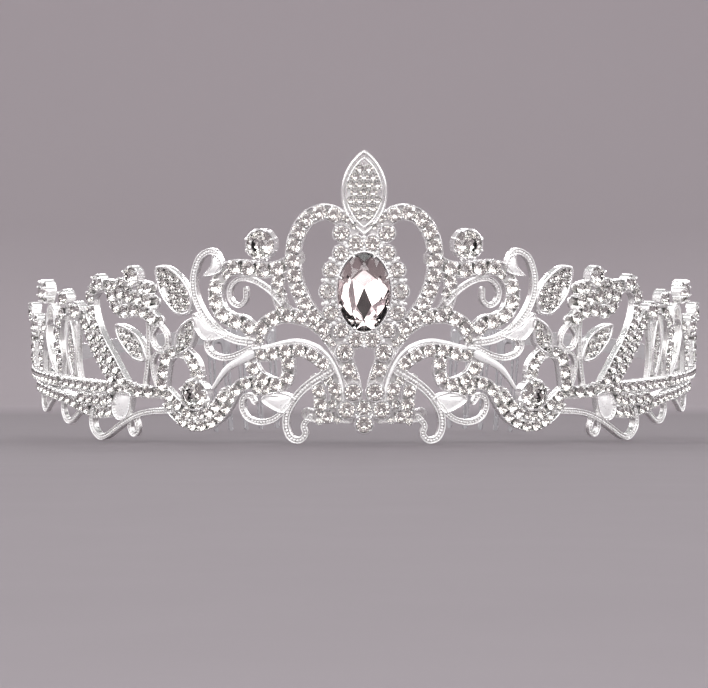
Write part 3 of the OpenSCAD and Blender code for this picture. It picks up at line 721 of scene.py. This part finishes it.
def clear_of_cups(p, d):
    """Whether a stone has room beside all cups."""
    room = d / 2 + CUP_WALL + 3 * SEAT_GAP
    return p[0] > d / 2 + SEAT_GAP / 2 and min(away(p, m[1:3]) - m[3] / 2 for m in MAIN_STONES) > room


def cell(p):
    return math.floor(p[0] / CELL), math.floor(p[1] / CELL)


def near(cells, p):
    """What lies in the cells round a place."""
    x, y = cell(p)
    return [q for i in (-1, 0, 1) for j in (-1, 0, 1) for q in cells[x + i, y + j]]


def row_stones():
    """Stones of the right half's rows: the solids' ones, then the fine ones, then fillers."""
    passes = [
        (d, spacing, route, group, (0,), SEAT_GAP)
        for own in (True, False) for _, d, spacing, route, group in STRIPS if own == (group != "fine")
    ]
    for part in FILLERS:
        passes += [(d * part, FILL_STEP, route, "fine", (0,), FILL_GAP) for _, d, _, route, _ in STRIPS]
    for d in EDGE_FILLERS:
        passes += [(d, FILL_STEP, route, "fine", EDGE_OFFSETS, FILL_GAP) for *_, route, _ in STRIPS]
    kept, taken = defaultdict(list), defaultdict(list)
    for spot in taken_spots():
        taken[cell(spot[0])].append(spot)
    found = []
    for d, spacing, route, group, offsets, gap in passes:
        for place, heading in row_places(route, spacing):
            for off in offsets:
                p = (place[0] - off * math.sin(heading), place[1] + off * math.cos(heading))
                if any(away(p, k[0]) < (d + k[1]) / 2 + gap for k in near(kept, p)):
                    continue
                if any(away(p, q) - w < d * STONE_FOOT + SEAT_GAP for q, w in near(taken, p)):
                    continue
                if clear_of_cups(p, d):
                    kept[cell(p)].append((p, d))
                    found.append((p, d, heading, group))
    return found


# Strips, stems and wires

# Steps of the backs of parts that cross: the first, the next ones, their number
STRIP_BACK = (0.06, 0.025, 9)
WIRE_BACK = (0.1, 0.04, 7)
LEAF_BACK = (0.14, 0.02, 8)
RIM_HALF = 0.17  # half width of a strip's raised edges
RIM_RISE = 0.55  # of these edges over the strip
RIM_OVERLAP = 0.25  # by which they run on over a strip that crosses
GROOVE_DEPTH = 0.42
GROOVED_FROM = 1.0  # thinner wires have a domed front
WIRE_EASE = 0.79  # of the solid's width: the photograph's wires look that much finer
WIRE_STEP = 0.42
GRAIN_PITCH = 0.62
STRIP_PATHS = [(even(smooth(route, FINE_TURN), 0.6), width / 2) for width, _, _, route, _ in STRIPS]


def stepped(back, i):
    """Radius of a numbered part's back."""
    first, step, count = back
    return PANEL_BACK + first + step * (i % count)


def covered(p, own):
    """Whether a place on a strip's edge lies inside another strip or a cup."""
    for i, (path, half) in enumerate(STRIP_PATHS):
        if i != own and min(away(p, q) for q in path) < half - RIM_OVERLAP:
            return True
    return any(away(p, m[1:3]) < m[3] / 2 + 0.25 for m in MAIN_STONES) or p[0] < 0.3


def rim_profile(half):
    top = STRIP_FRONT + RIM_RISE
    return both([(half, STRIP_FLOOR - 0.3), (half, top - 0.1), (half * 0.45, top)])


def strip_metal(shape):
    """Strips with raised edges where nothing covers these."""
    for i, (path, half) in enumerate(STRIP_PATHS):
        profile = plate(stepped(STRIP_BACK, i), STRIP_FLOOR - 0.004 * (i % 7))
        sweep(shape, *with_round_ends(path, [half] * len(path)), profile, darker=DARK_OF_PLATE)
        for side in (-1, 1):
            edge = beside(path, side * (half - RIM_HALF))
            for hidden, places in groupby(edge, lambda p: covered(p, i)):
                run = list(places)
                if not hidden and len(run) > 2:
                    sweep(shape, *with_round_ends(run, [RIM_HALF] * len(run)), rim_profile)


def stem_metal(shape):
    steps = 4
    for start, end in STEMS:
        path = [between(start, end, t / steps) for t in range(steps + 1)]
        profile = domed(PANEL_BACK, STRIP_FRONT - 0.5, STRIP_FRONT)
        sweep(shape, *with_round_ends(path, [STEM_W / 2] * len(path)), profile)


def wire_metal(shape, beads):
    """Wires with a row of beads, and the thinnest ones with a domed front."""
    for table, top in ((RAISED_WIRES, WIRE_FRONT), (THIN_WIRES, STRIP_FRONT + 0.1)):
        for i, (start, end, route) in enumerate(table):
            line = smooth(route, FINE_TURN)
            path = even(line, WIRE_STEP)
            last = len(path) - 1
            widths = [WIRE_EASE * (start + (end - start) * k / last) / 2 for k in range(last + 1)]
            front = top + 0.01 * (i % 5)
            floor = front - GROOVE_DEPTH
            back = stepped(WIRE_BACK, i)
            if min(start, end) < GROOVED_FROM:
                profile, darker = domed(back, front - 0.5, front), DARK_OF_DOME
            else:
                profile, darker = grooved(back, front, floor), DARK_OF_GROOVE
            sweep(shape, *with_round_ends(path, widths), profile, mark=SATIN, darker=darker)
            if darker == DARK_OF_DOME:
                continue
            spots = even(line, GRAIN_PITCH)
            for k, p in enumerate(spots):
                half = widths[round(k / (len(spots) - 1) * last)]
                size = max(0.18, min(0.3, (half - 0.26) * 0.72))
                bead(beads, panel, *p, floor + size * 0.7, size)


# Leaves and finial

ROW_PACKING = 0.87  # distance of two rows, as a part of that of two stones
LEAF_STEPS = 10
PLAIN_RIM = 0.2  # half width of a bare leaf's rim
KEEL_STONE = (0, -0.6, 2.5)  # arc, height, diameter
FINIAL_STONE = 1.75
FINIAL_RIMS = ((0.28, 0.25, 1.55), (1.05, 0.22, 1.3))  # distance from the edge, half width, height
FINIAL_FIELD = 1.25  # distance of the stones from the edge


def packed(outline, d, pitch, margin, along_by, across_by):
    """Stones of staggered rows across the long axis of an outline."""
    c = middle(outline)
    far = max(outline, key=lambda q: away(q, c))
    u = towards(c, far)
    along = [(q[0] - c[0]) * u[0] + (q[1] - c[1]) * u[1] for q in outline]
    mid = (min(along) + max(along)) / 2
    reach = math.ceil((max(along) - min(along)) / pitch)
    spots = []
    for i in range(-reach, reach + 1):
        x = mid + (i + along_by) * pitch * ROW_PACKING
        for j in range(-reach, reach + 1):
            y = (j + (i % 2) / 2 + across_by) * pitch
            p = (c[0] + u[0] * x - u[1] * y, c[1] + u[1] * x + u[0] * y)
            if inside(p, outline) and min(away(p, q) for q in outline) > margin + d / 2:
                spots.append(p)
    return spots


def pave(outline, d, pitch, margin):
    """Stones of the closest packing."""
    tries = [packed(outline, d, pitch, margin, a / 4, b / 4) for a in range(4) for b in range(4)]
    return max(tries, key=len)


def leaf_metal(shape, stones, beads):
    """Leaves with raised rims, in some of them stones, and beads where these have a distance."""
    for i, (d, pitch, corners) in enumerate(LEAVES):
        back = stepped(LEAF_BACK, i)
        outline = anticlockwise(smooth_loop(corners, LEAF_STEPS))
        if d:
            # the plate between the stones gets painted shade
            filled(shape, outline, back, STRIP_FLOOR + 0.15, 0.05, mark=PAINTED_SHADE)
            rim, half, low = outline, LEAF_RIM_W / 2, PANEL_BACK + 0.1
            shoulder = WIRE_FRONT - 0.1
            for p in pave(outline, d, d + 0.06, LEAF_RIM_W * 0.4):
                small_stone(stones, Seat(*p, STRIP_FRONT + 0.35), d)
        else:
            filled(shape, outline, back, WIRE_FRONT - 0.6, 0.65, mark=SATIN)
            rim, half, low = anticlockwise(smooth_loop(corners, LEAF_STEPS // 2)), PLAIN_RIM, WIRE_FRONT - 0.7
            shoulder = WIRE_FRONT - 0.15
        rim = beside(rim, half, True)
        sweep(shape, rim, [half] * len(rim), domed(low, shoulder, WIRE_FRONT + 0.1), closed=True)
        if pitch:
            line = beside(outline, 2 * PLAIN_RIM + 0.2, True)
            for p in even(line + line[:1], pitch)[:-1]:
                bead(beads, panel, *p, WIRE_FRONT - 0.3, 0.26)


def finial_outline(by, steps=20):
    """Outline of the finial, at a distance inside its edge."""
    w = FINIAL_W / 2 - by
    h = FINIAL_H / 2 - 1.6 * by
    ts = [math.sin(math.pi / 2 * (2 * k / steps - 1)) for k in range(steps + 1)]
    right = [(w * (1 - t * t) ** 0.8, FINIAL_MID + t * h) for t in ts]
    return right[:-1] + [(-x, y) for x, y in right[:0:-1]]


def finial_metal(shape, stones):
    """Pointed plate with two rims round a field of stones."""
    # the finial's plate gets painted shade
    filled(shape, finial_outline(0), PANEL_BACK, FINIAL_BACK + 0.55, 0.02, put=flat, mark=PAINTED_SHADE)
    for by, half, top in FINIAL_RIMS:
        rim = finial_outline(by)
        profile = domed(FINIAL_BACK, FINIAL_BACK + top - 0.3, FINIAL_BACK + top)
        sweep(shape, rim, [half] * len(rim), profile, put=flat, closed=True)
    field = finial_outline(FINIAL_FIELD)
    # the plate between the finial's stones gets painted shade
    filled(shape, field, FINIAL_BACK, FINIAL_BACK + 0.75, 0.05, put=flat, mark=PAINTED_SHADE)
    for p in pave(field, FINIAL_STONE, FINIAL_STONE + 0.05, -0.32):
        small_stone(stones, Seat(*p, FINIAL_BACK + 1.2, False), FINIAL_STONE)


# Cups and the large stone's seat

HALO_PLATE = 0.9  # reach of the plate beyond the stones' middles
HALO_GRAINS = ((-0.75, 0.42), (0.55, 0.5), (1.35, 0.4))  # distance outwards from between two cups, size
SEAT_AIR = SEAT_GAP + 0.15  # from the large stone's edge to the middle of the wall round it
SEAT_HALF = 0.16
SEAT_GRAINS = (0.28, 60, 0.27)  # distance from that wall, number, size


def cup_metal(shape):
    for _, s, h, d in MAIN_STONES:
        girdle = main_girdle(d)
        outer = d / 2 + SEAT_GAP + CUP_WALL
        inner = d / 2 + 0.02
        back, floor, top = PANEL_BACK - girdle, STRIP_FLOOR - girdle, -0.08
        lathe(shape, Seat(s, h, girdle), [
            (0, back), (outer - 0.2, back), (outer, back + 0.2), (outer, top - 0.12), (outer - 0.1, top),
            (inner + 0.08, top), (inner, top - 0.1), (inner * 0.55, floor), (0, floor),
        ], 28)


def keel(shape, stones):
    """Small stone on a plate between the lowest cups."""
    s, h, d = KEEL_STONE
    outer = d / 2 + SEAT_GAP + 0.1
    back = PANEL_BACK - STRIP_FLOOR
    lathe(shape, Seat(s, h, STRIP_FLOOR), [
        (0, back), (outer - 0.1, back), (outer, back + 0.1), (outer, -0.05), (outer - 0.05, 0.02), (0, 0.02),
    ], 24)
    row_stone(stones, s, h, d, 0)


def halo_metal(shape, beads):
    """Plate behind the ring of small cups, and the grains between these."""
    # the plate behind the halo's cups gets painted shade
    filled(shape, oval(HALO_OFF + HALO_PLATE, 56), PANEL_BACK + 0.2, STRIP_FLOOR + 0.3, 0.02, put=flat,
           mark=PAINTED_SHADE)
    for a, b in sides_of(HALO):
        mid, u = between(a[1:3], b[1:3], 0.5), towards(a[1:3], b[1:3])
        for out, size in HALO_GRAINS:
            bead(beads, flat, mid[0] + u[1] * out, mid[1] - u[0] * out, CUP_FRONT - 0.15, size)


def centre_metal(shape, beads):
    """Plate, wall and ring of grains that hold the large stone."""
    filled(shape, oval(SEAT_AIR, 48), PANEL_BACK, STRIP_FLOOR, 0.02, put=flat)
    wall = oval(SEAT_AIR, 72)
    profile = domed(PANEL_BACK + 0.2, CUP_FRONT + 0.45, CUP_FRONT + 0.55)
    sweep(shape, wall, [SEAT_HALF] * len(wall), profile, put=flat, closed=True)
    out, count, size = SEAT_GRAINS
    for p in oval(SEAT_AIR + out, count):
        bead(beads, flat, *p, CUP_FRONT - 0.1, size)


# Clips and weld spots of the combs

CLIP_W = 1.3
CLIP_H = 4.1
CLIP_T = 0.22
CLIP_EASE = 0.12
WELD_SPOTS = [(5.6, -0.2, 0.5), (8.6, 1.0, 0.45), (7.2, 0.9, 0.3)]  # arc from the comb's middle, height, size


def comb_details(shape):
    """Clips round the ends of the band, and weld spots inside the combs."""
    for side in (-1, 1):
        def place(off):
            return math.radians(side * (180 - COMB_AT - math.degrees(off / COMB_R))) * PANEL_R

        def inner_face(s, h, r):
            return panel(s, h, 2 * COMB_R - r)

        clip = place(COMB_W / 2 - CLIP_W / 2)
        top, half = CLIP_H / 2, CLIP_W / 2
        path = [(clip, h) for h in (-top, -top + CLIP_EASE, 0, top - CLIP_EASE, top)]
        sweep(shape, path, [half - CLIP_EASE, half, half, half, half - CLIP_EASE],
              plate(COMB_R - CLIP_T, BAND_R + CLIP_T))
        for off, h, size in WELD_SPOTS:
            spot = Shape()
            bead(spot, inner_face, place(-off), h, COMB_R, size)
            spot.faces = [tuple(reversed(f)) for f in spot.faces]
            shape.join(spot)


# Materials

def feed(node, inputs):
    """Sets inputs of a node to values or to other nodes' outputs."""
    for name, value in inputs.items():
        if isinstance(value, bpy.types.NodeSocket):
            node.id_data.links.new(value, node.inputs[name])
        else:
            node.inputs[name].default_value = value
    return node


def own_place(tree, scale):
    """Place in the object's own space, times a scale."""
    place = tree.nodes.new("ShaderNodeTexCoord").outputs["Object"]
    return feed(tree.nodes.new("ShaderNodeMapping"), {"Vector": place, "Scale": scale}).outputs["Vector"]


EVEN = (1, 1, 1)


def noise(tree, scale, detail=3.0, stretch=EVEN):
    inputs = {"Vector": own_place(tree, stretch), "Scale": scale, "Detail": detail}
    return feed(tree.nodes.new("ShaderNodeTexNoise"), inputs).outputs["Fac"]


def ramp(tree, source, low, high, start=0.3, end=0.7):
    """Colour that runs from low to high."""
    node = feed(tree.nodes.new("ShaderNodeValToRGB"), {"Fac": source})
    for stop, place, colour in zip(node.color_ramp.elements, (start, end), (low, high)):
        stop.position = place
        stop.color = (*colour, 1)
    return node.outputs["Color"]


def spread(tree, source, low, high):
    """Value that runs from low to high."""
    node = tree.nodes.new("ShaderNodeMapRange")
    feed(node, {"Value": source, "From Min": 0.3, "From Max": 0.7, "To Min": low, "To Max": high})
    return node.outputs["Result"]


def bumps(tree, source, strength, depth):
    node = tree.nodes.new("ShaderNodeBump")
    feed(node, {"Height": source, "Strength": strength, "Distance": depth})
    return node.outputs["Normal"]


def new_material(name):
    """Node tree and shader of a new material."""
    material = LOOKS[name] = bpy.data.materials.new(name)
    material.use_nodes = True
    return material.node_tree, material.node_tree.nodes["Principled BSDF"]


def metal(name, dark, light, rough, grain, strength, depth, stretch, metallic):
    tree, shader = new_material(name)
    feed(shader, {
        "Metallic": metallic,
        "Base Color": ramp(tree, noise(tree, grain * 0.35, 3, stretch), dark, light),
        "Roughness": spread(tree, noise(tree, grain * 0.6, 4, stretch), *rough),
        "Normal": bumps(tree, noise(tree, grain, 3, stretch), strength, depth),
    })


def glass(name, tint, edge, grain):
    tree, shader = new_material(name)
    feed(shader, {
        "Transmission Weight": 1.0,
        "IOR": 1.58,
        "Base Color": ramp(tree, noise(tree, grain, 2), tint, edge),
        "Roughness": spread(tree, noise(tree, grain * 2, 3), 0.0, 0.025),
    })


# Metals: name, dark and light tone, roughness, grain, strength and depth of bumps, stretch, metallic
METALS = [
    ("polished_silver", (0.92, 0.915, 0.91), (0.98, 0.975, 0.97), (0.10, 0.24), 1400, 0.12, 5e-5, EVEN, 0.75),
    ("satin_silver", (0.94, 0.935, 0.93), (0.99, 0.985, 0.98), (0.24, 0.42), 3200, 0.3, 6e-5, EVEN, 0.3),
    # painted shade: darker silver for side walls, channel floors and the plates between stones
    ("shaded_silver", (0.80, 0.79, 0.78), (0.93, 0.92, 0.91), (0.2, 0.4), 1800, 0.3, 6e-5, EVEN, 1.0),
    ("cast_silver", (0.86, 0.855, 0.85), (0.94, 0.935, 0.93), (0.24, 0.36), 900, 0.14, 8e-5, EVEN, 0.4),
    ("band_steel", (0.70, 0.70, 0.71), (0.84, 0.84, 0.84), (0.12, 0.26), 900, 0.08, 4e-5, (1, 1, 9), 0.7),
    ("comb_steel", (0.62, 0.625, 0.64), (0.78, 0.785, 0.8), (0.14, 0.3), 1100, 0.12, 4e-5, (3, 3, 0.6), 0.7),
    ("clip_steel", (0.84, 0.84, 0.85), (0.95, 0.95, 0.95), (0.1, 0.24), 1300, 0.15, 5e-5, EVEN, 0.6),
    ("mirror_foil", (0.90, 0.89, 0.87), (0.97, 0.96, 0.94), (0.02, 0.08), 900, 0.02, 2e-5, EVEN, 1.0),
    # painted reflection: near-black mirror for the large stone's unfoiled rhombus facet
    ("painted_dark_facet", (0.010, 0.0095, 0.0095), (0.026, 0.025, 0.025), (0.02, 0.08), 500, 0.05, 2e-5, EVEN, 1.0),
]
for row in METALS:
    metal(*row)
glass("clear_glass", (1.0, 1.0, 1.0), (0.99, 0.975, 0.95), 700)
glass("rose_glass", (1.0, 0.93, 0.93), (1.0, 0.86, 0.87), 160)


# Pieces

METAL_SHADE = 35  # greatest angle that is shaded as a round
BEAD_SHADE = 60
LARGE_FROM = 5  # diameter of the round stones that count as large
CENTRE_CROWN = 1.5
CENTRE_DEPTH = 1.5
CENTRE_SIDES = 10
CENTRE_TABLE = 0.62
CENTRE_CLAWS = 8


def build_frontal():
    """Builds the openwork, and gives the stones of its leaves and finial."""
    openwork, beads, in_leaves, in_finial = Shape(), Shape(), Shape(), Shape()
    strip_metal(openwork)
    stem_metal(openwork)
    wire_metal(openwork, beads)
    leaf_metal(openwork, in_leaves, beads)
    openwork.join(openwork.mirrored())
    beads.join(beads.mirrored())
    cup_metal(openwork)
    finial_metal(openwork, in_finial)
    keel(openwork, in_finial)
    centre_metal(openwork, beads)
    halo_metal(openwork, beads)
    openwork.build("openwork", METAL_LOOK, "frontal_metal", METAL_SHADE, ["frontal"])
    beads.build("milgrain", ["satin_silver"], "frontal_metal", BEAD_SHADE)
    return in_leaves, in_finial


def build_rows():
    stones = row_stones()
    for group in ("heart", "scroll", "swag", "outer", "fine"):
        right = Shape()
        for p, d, heading, own in stones:
            if own == group:
                row_stone(right, *p, d, heading)
        for side, row in (("right", right), ("left", right.mirrored())):
            nodes = [f"{group}_stones_{side}"] if group != "fine" else []
            row.build(f"{group}_row_{side}", replaces=nodes)


def build_main_stones():
    for name, s, h, d in MAIN_STONES:
        stone = Shape()
        main_stone(stone, s, h, d)
        slot = "large_stone" if d > LARGE_FROM else "clear_stone"
        stone.build(name + "_set", slot=slot, replaces=[name])


def build_centre_stone():
    stone = Shape()
    seat = Seat(0, CENTRE_MID, CUP_FRONT + 0.7, False)
    large_cut(stone, seat, CENTRE_W / 2, CENTRE_H / 2, CENTRE_CROWN, CENTRE_DEPTH, CENTRE_SIDES, CENTRE_TABLE)
    for k in range(CENTRE_CLAWS):
        a = 2 * math.pi * (k + 0.5) / CENTRE_CLAWS
        out = math.hypot(CENTRE_W / 2 * math.cos(a), CENTRE_H / 2 * math.sin(a)) + SEAT_AIR
        heading = math.atan2(CENTRE_H * math.sin(a), CENTRE_W * math.cos(a))
        claw(stone, seat, heading, out, -1.6, 0.75, 0.36, 0.7)
    stone.build("centre_stone_set", LARGE_STONE_LOOK, "large_stone", replaces=["centre_stone"])


def build_combs():
    """Clips and weld spots, and new materials for the solids of bands and combs."""
    details = Shape()
    comb_details(details)
    details.build("comb_clips", ["clip_steel"], "comb_steel", METAL_SHADE)
    for name in ("band", "comb"):
        for side in ("left", "right"):
            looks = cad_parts[f"{name}_{side}"].data.materials
            looks.clear()
            looks.append(LOOKS[f"{name}_steel"])


leaf_stones, finial_stones = build_frontal()
build_combs()
finial_stones.build("finial_stones")
leaf_stones.build("leaf_stones_right")
leaf_stones.mirrored().build("leaf_stones_left")
build_rows()
build_main_stones()
build_centre_stone()


# Stage, light and camera, in metres

FLOOR_R = 0.9
WALL_BEND = 0.6
WALL_TOP = 1.3
STAGE_SIDES = 96
# the paper is painted darker near the crown: painted shade that evens out the stronger light there
PAPER_NEAR = (0.19, 0.17, 0.182)
PAPER_FAR = (0.465, 0.42, 0.444)
PAPER_FADE = (0.0, 0.7)  # of the way in from the wall
SKY_LOW = (0.60, 0.58, 0.59)
SKY_HIGH = (0.30, 0.30, 0.30)
SKY_FADE = (0.05, 0.8)  # of the way up

# Lights: name, angle from the front, height angle, size, glow
LIGHTS = [
    ("front_card", 0, 3, (0.7, 0.2), 0.9),
    ("front_low", 0, 21, (0.85, 0.34), 4.5),
    ("front_high", 0, 52, (0.8, 0.35), 3.5),
    ("left_near", -40, 24, (0.34, 0.8), 4.4),
    ("right_near", 42, 22, (0.34, 0.75), 4.2),
    ("left_side", -78, 28, (0.35, 0.7), 3.3),
    ("right_side", 80, 26, (0.35, 0.7), 3.2),
    ("left_back", -128, 34, (0.4, 0.5), 4.6),
    ("right_back", 130, 32, (0.4, 0.5), 4.6),
    ("back", 180, 30, (0.5, 0.3), 4.6),
    ("top", 0, 88, (0.6, 0.4), 3.0),
]
LIGHT_TARGET = Vector((0, 0, 0.03))
LIGHT_REACH = 1.15
GLINT_COUNT = 22
GLINT_GLOW = 30
GLINT_SIZE = 0.035
GLINT_REACH = 1.1
GLINT_TURN = 137.5  # from each to the next, so that they spread evenly
GLINT_HEIGHTS = (8, 75)  # lowest and highest angle

# The photograph looks up from below the band, so the camera here stands just over the floor
EYE = (-0.0008, -0.585, 0.012)
AIM = (-0.0022, 0, 0.0213)
PHOTO_W = 708
FOCAL_PX = 2570
SENSOR = 36


def paper():
    """Pale paper, with painted shade round the crown that evens out the stronger light there."""
    tree, shader = new_material("paper")
    place = own_place(tree, (1 / (FLOOR_R + WALL_BEND),) * 3)
    fade = feed(tree.nodes.new("ShaderNodeTexGradient"), {"Vector": place})
    fade.gradient_type = "SPHERICAL"
    feed(shader, {
        "Base Color": ramp(tree, fade.outputs["Fac"], PAPER_FAR, PAPER_NEAR, *PAPER_FADE),
        "Roughness": spread(tree, noise(tree, 60), 0.84, 0.9),
        "Specular IOR Level": 0.15,
        "Normal": bumps(tree, noise(tree, 900), 0.1, 0.0001),
    })


def backdrop():
    """Round floor that curves up into a wall."""
    bend = [(FLOOR_R + WALL_BEND * s, WALL_BEND * (1 - c)) for c, s in circle(60)[1:16]]
    profile = [(0.15, 0), (0.4, 0), (FLOOR_R, 0)] + bend + [(FLOOR_R + WALL_BEND, WALL_TOP)]
    points = [(r * c, r * s, z) for r, z in profile for c, s in circle(STAGE_SIDES)]
    faces = [tuple(reversed(f)) for f in skin(len(profile), STAGE_SIDES)[:-1]]
    mesh = bpy.data.meshes.new("backdrop")
    mesh.from_pydata(points, [], faces)
    mesh.polygons.foreach_set("use_smooth", [True] * len(faces))
    paper()
    mesh.materials.append(LOOKS["paper"])
    floor = bpy.data.objects.new("backdrop", mesh)
    bpy.context.scene.collection.objects.link(floor)


def aimed(place, target):
    """Rotation that looks from a place at a target."""
    return (Vector(target) - Vector(place)).to_track_quat("-Z", "Y")


def softbox(name, azimuth, elevation, size, glow, reach=LIGHT_REACH):
    """Soft light, of a glow for each unit of its own area."""
    a, e = math.radians(azimuth), math.radians(elevation)
    light = bpy.data.lights.new(name, "AREA")
    light.shape = "RECTANGLE"
    light.size, light.size_y = size
    light.energy = glow * math.pi * size[0] * size[1]
    lamp = bpy.data.objects.new(name, light)
    lamp.location = Vector((math.sin(a) * math.cos(e), -math.cos(a) * math.cos(e), math.sin(e))) * reach
    lamp.rotation_mode = "QUATERNION"
    lamp.rotation_quaternion = aimed(lamp.location, LIGHT_TARGET)
    lamp.visible_camera = False
    bpy.context.scene.collection.objects.link(lamp)


def light_all():
    """Large soft lights, and a spiral of small ones for glints."""
    for light in LIGHTS:
        softbox(*light)
    low, high = GLINT_HEIGHTS
    for k in range(GLINT_COUNT):
        elevation = low + (high - low) * k / GLINT_COUNT
        softbox(f"glint_{k}", GLINT_TURN * k, elevation, (GLINT_SIZE, GLINT_SIZE), GLINT_GLOW, GLINT_REACH)


def sky():
    world = bpy.data.worlds.new("studio")
    bpy.context.scene.world = world
    world.use_nodes = True
    tree = world.node_tree
    place = tree.nodes.new("ShaderNodeTexCoord").outputs["Generated"]
    parts = feed(tree.nodes.new("ShaderNodeSeparateXYZ"), {"Vector": place})
    tone = ramp(tree, parts.outputs["Z"], SKY_LOW, SKY_HIGH, *SKY_FADE)
    feed(tree.nodes["Background"], {"Color": tone, "Strength": 1.0})
    bpy.context.scene.view_settings.view_transform = "Standard"


def place_camera():
    camera = bpy.data.cameras.new("camera")
    camera.sensor_width = SENSOR
    camera.lens = FOCAL_PX / PHOTO_W * SENSOR
    camera.clip_start = 0.01
    eye = bpy.data.objects.new("camera", camera)
    eye.location = EYE
    eye.rotation_mode = "QUATERNION"
    eye.rotation_quaternion = aimed(eye.location, AIM)
    bpy.context.scene.collection.objects.link(eye)
    bpy.context.scene.camera = eye


backdrop()
light_all()
sky()
place_camera()
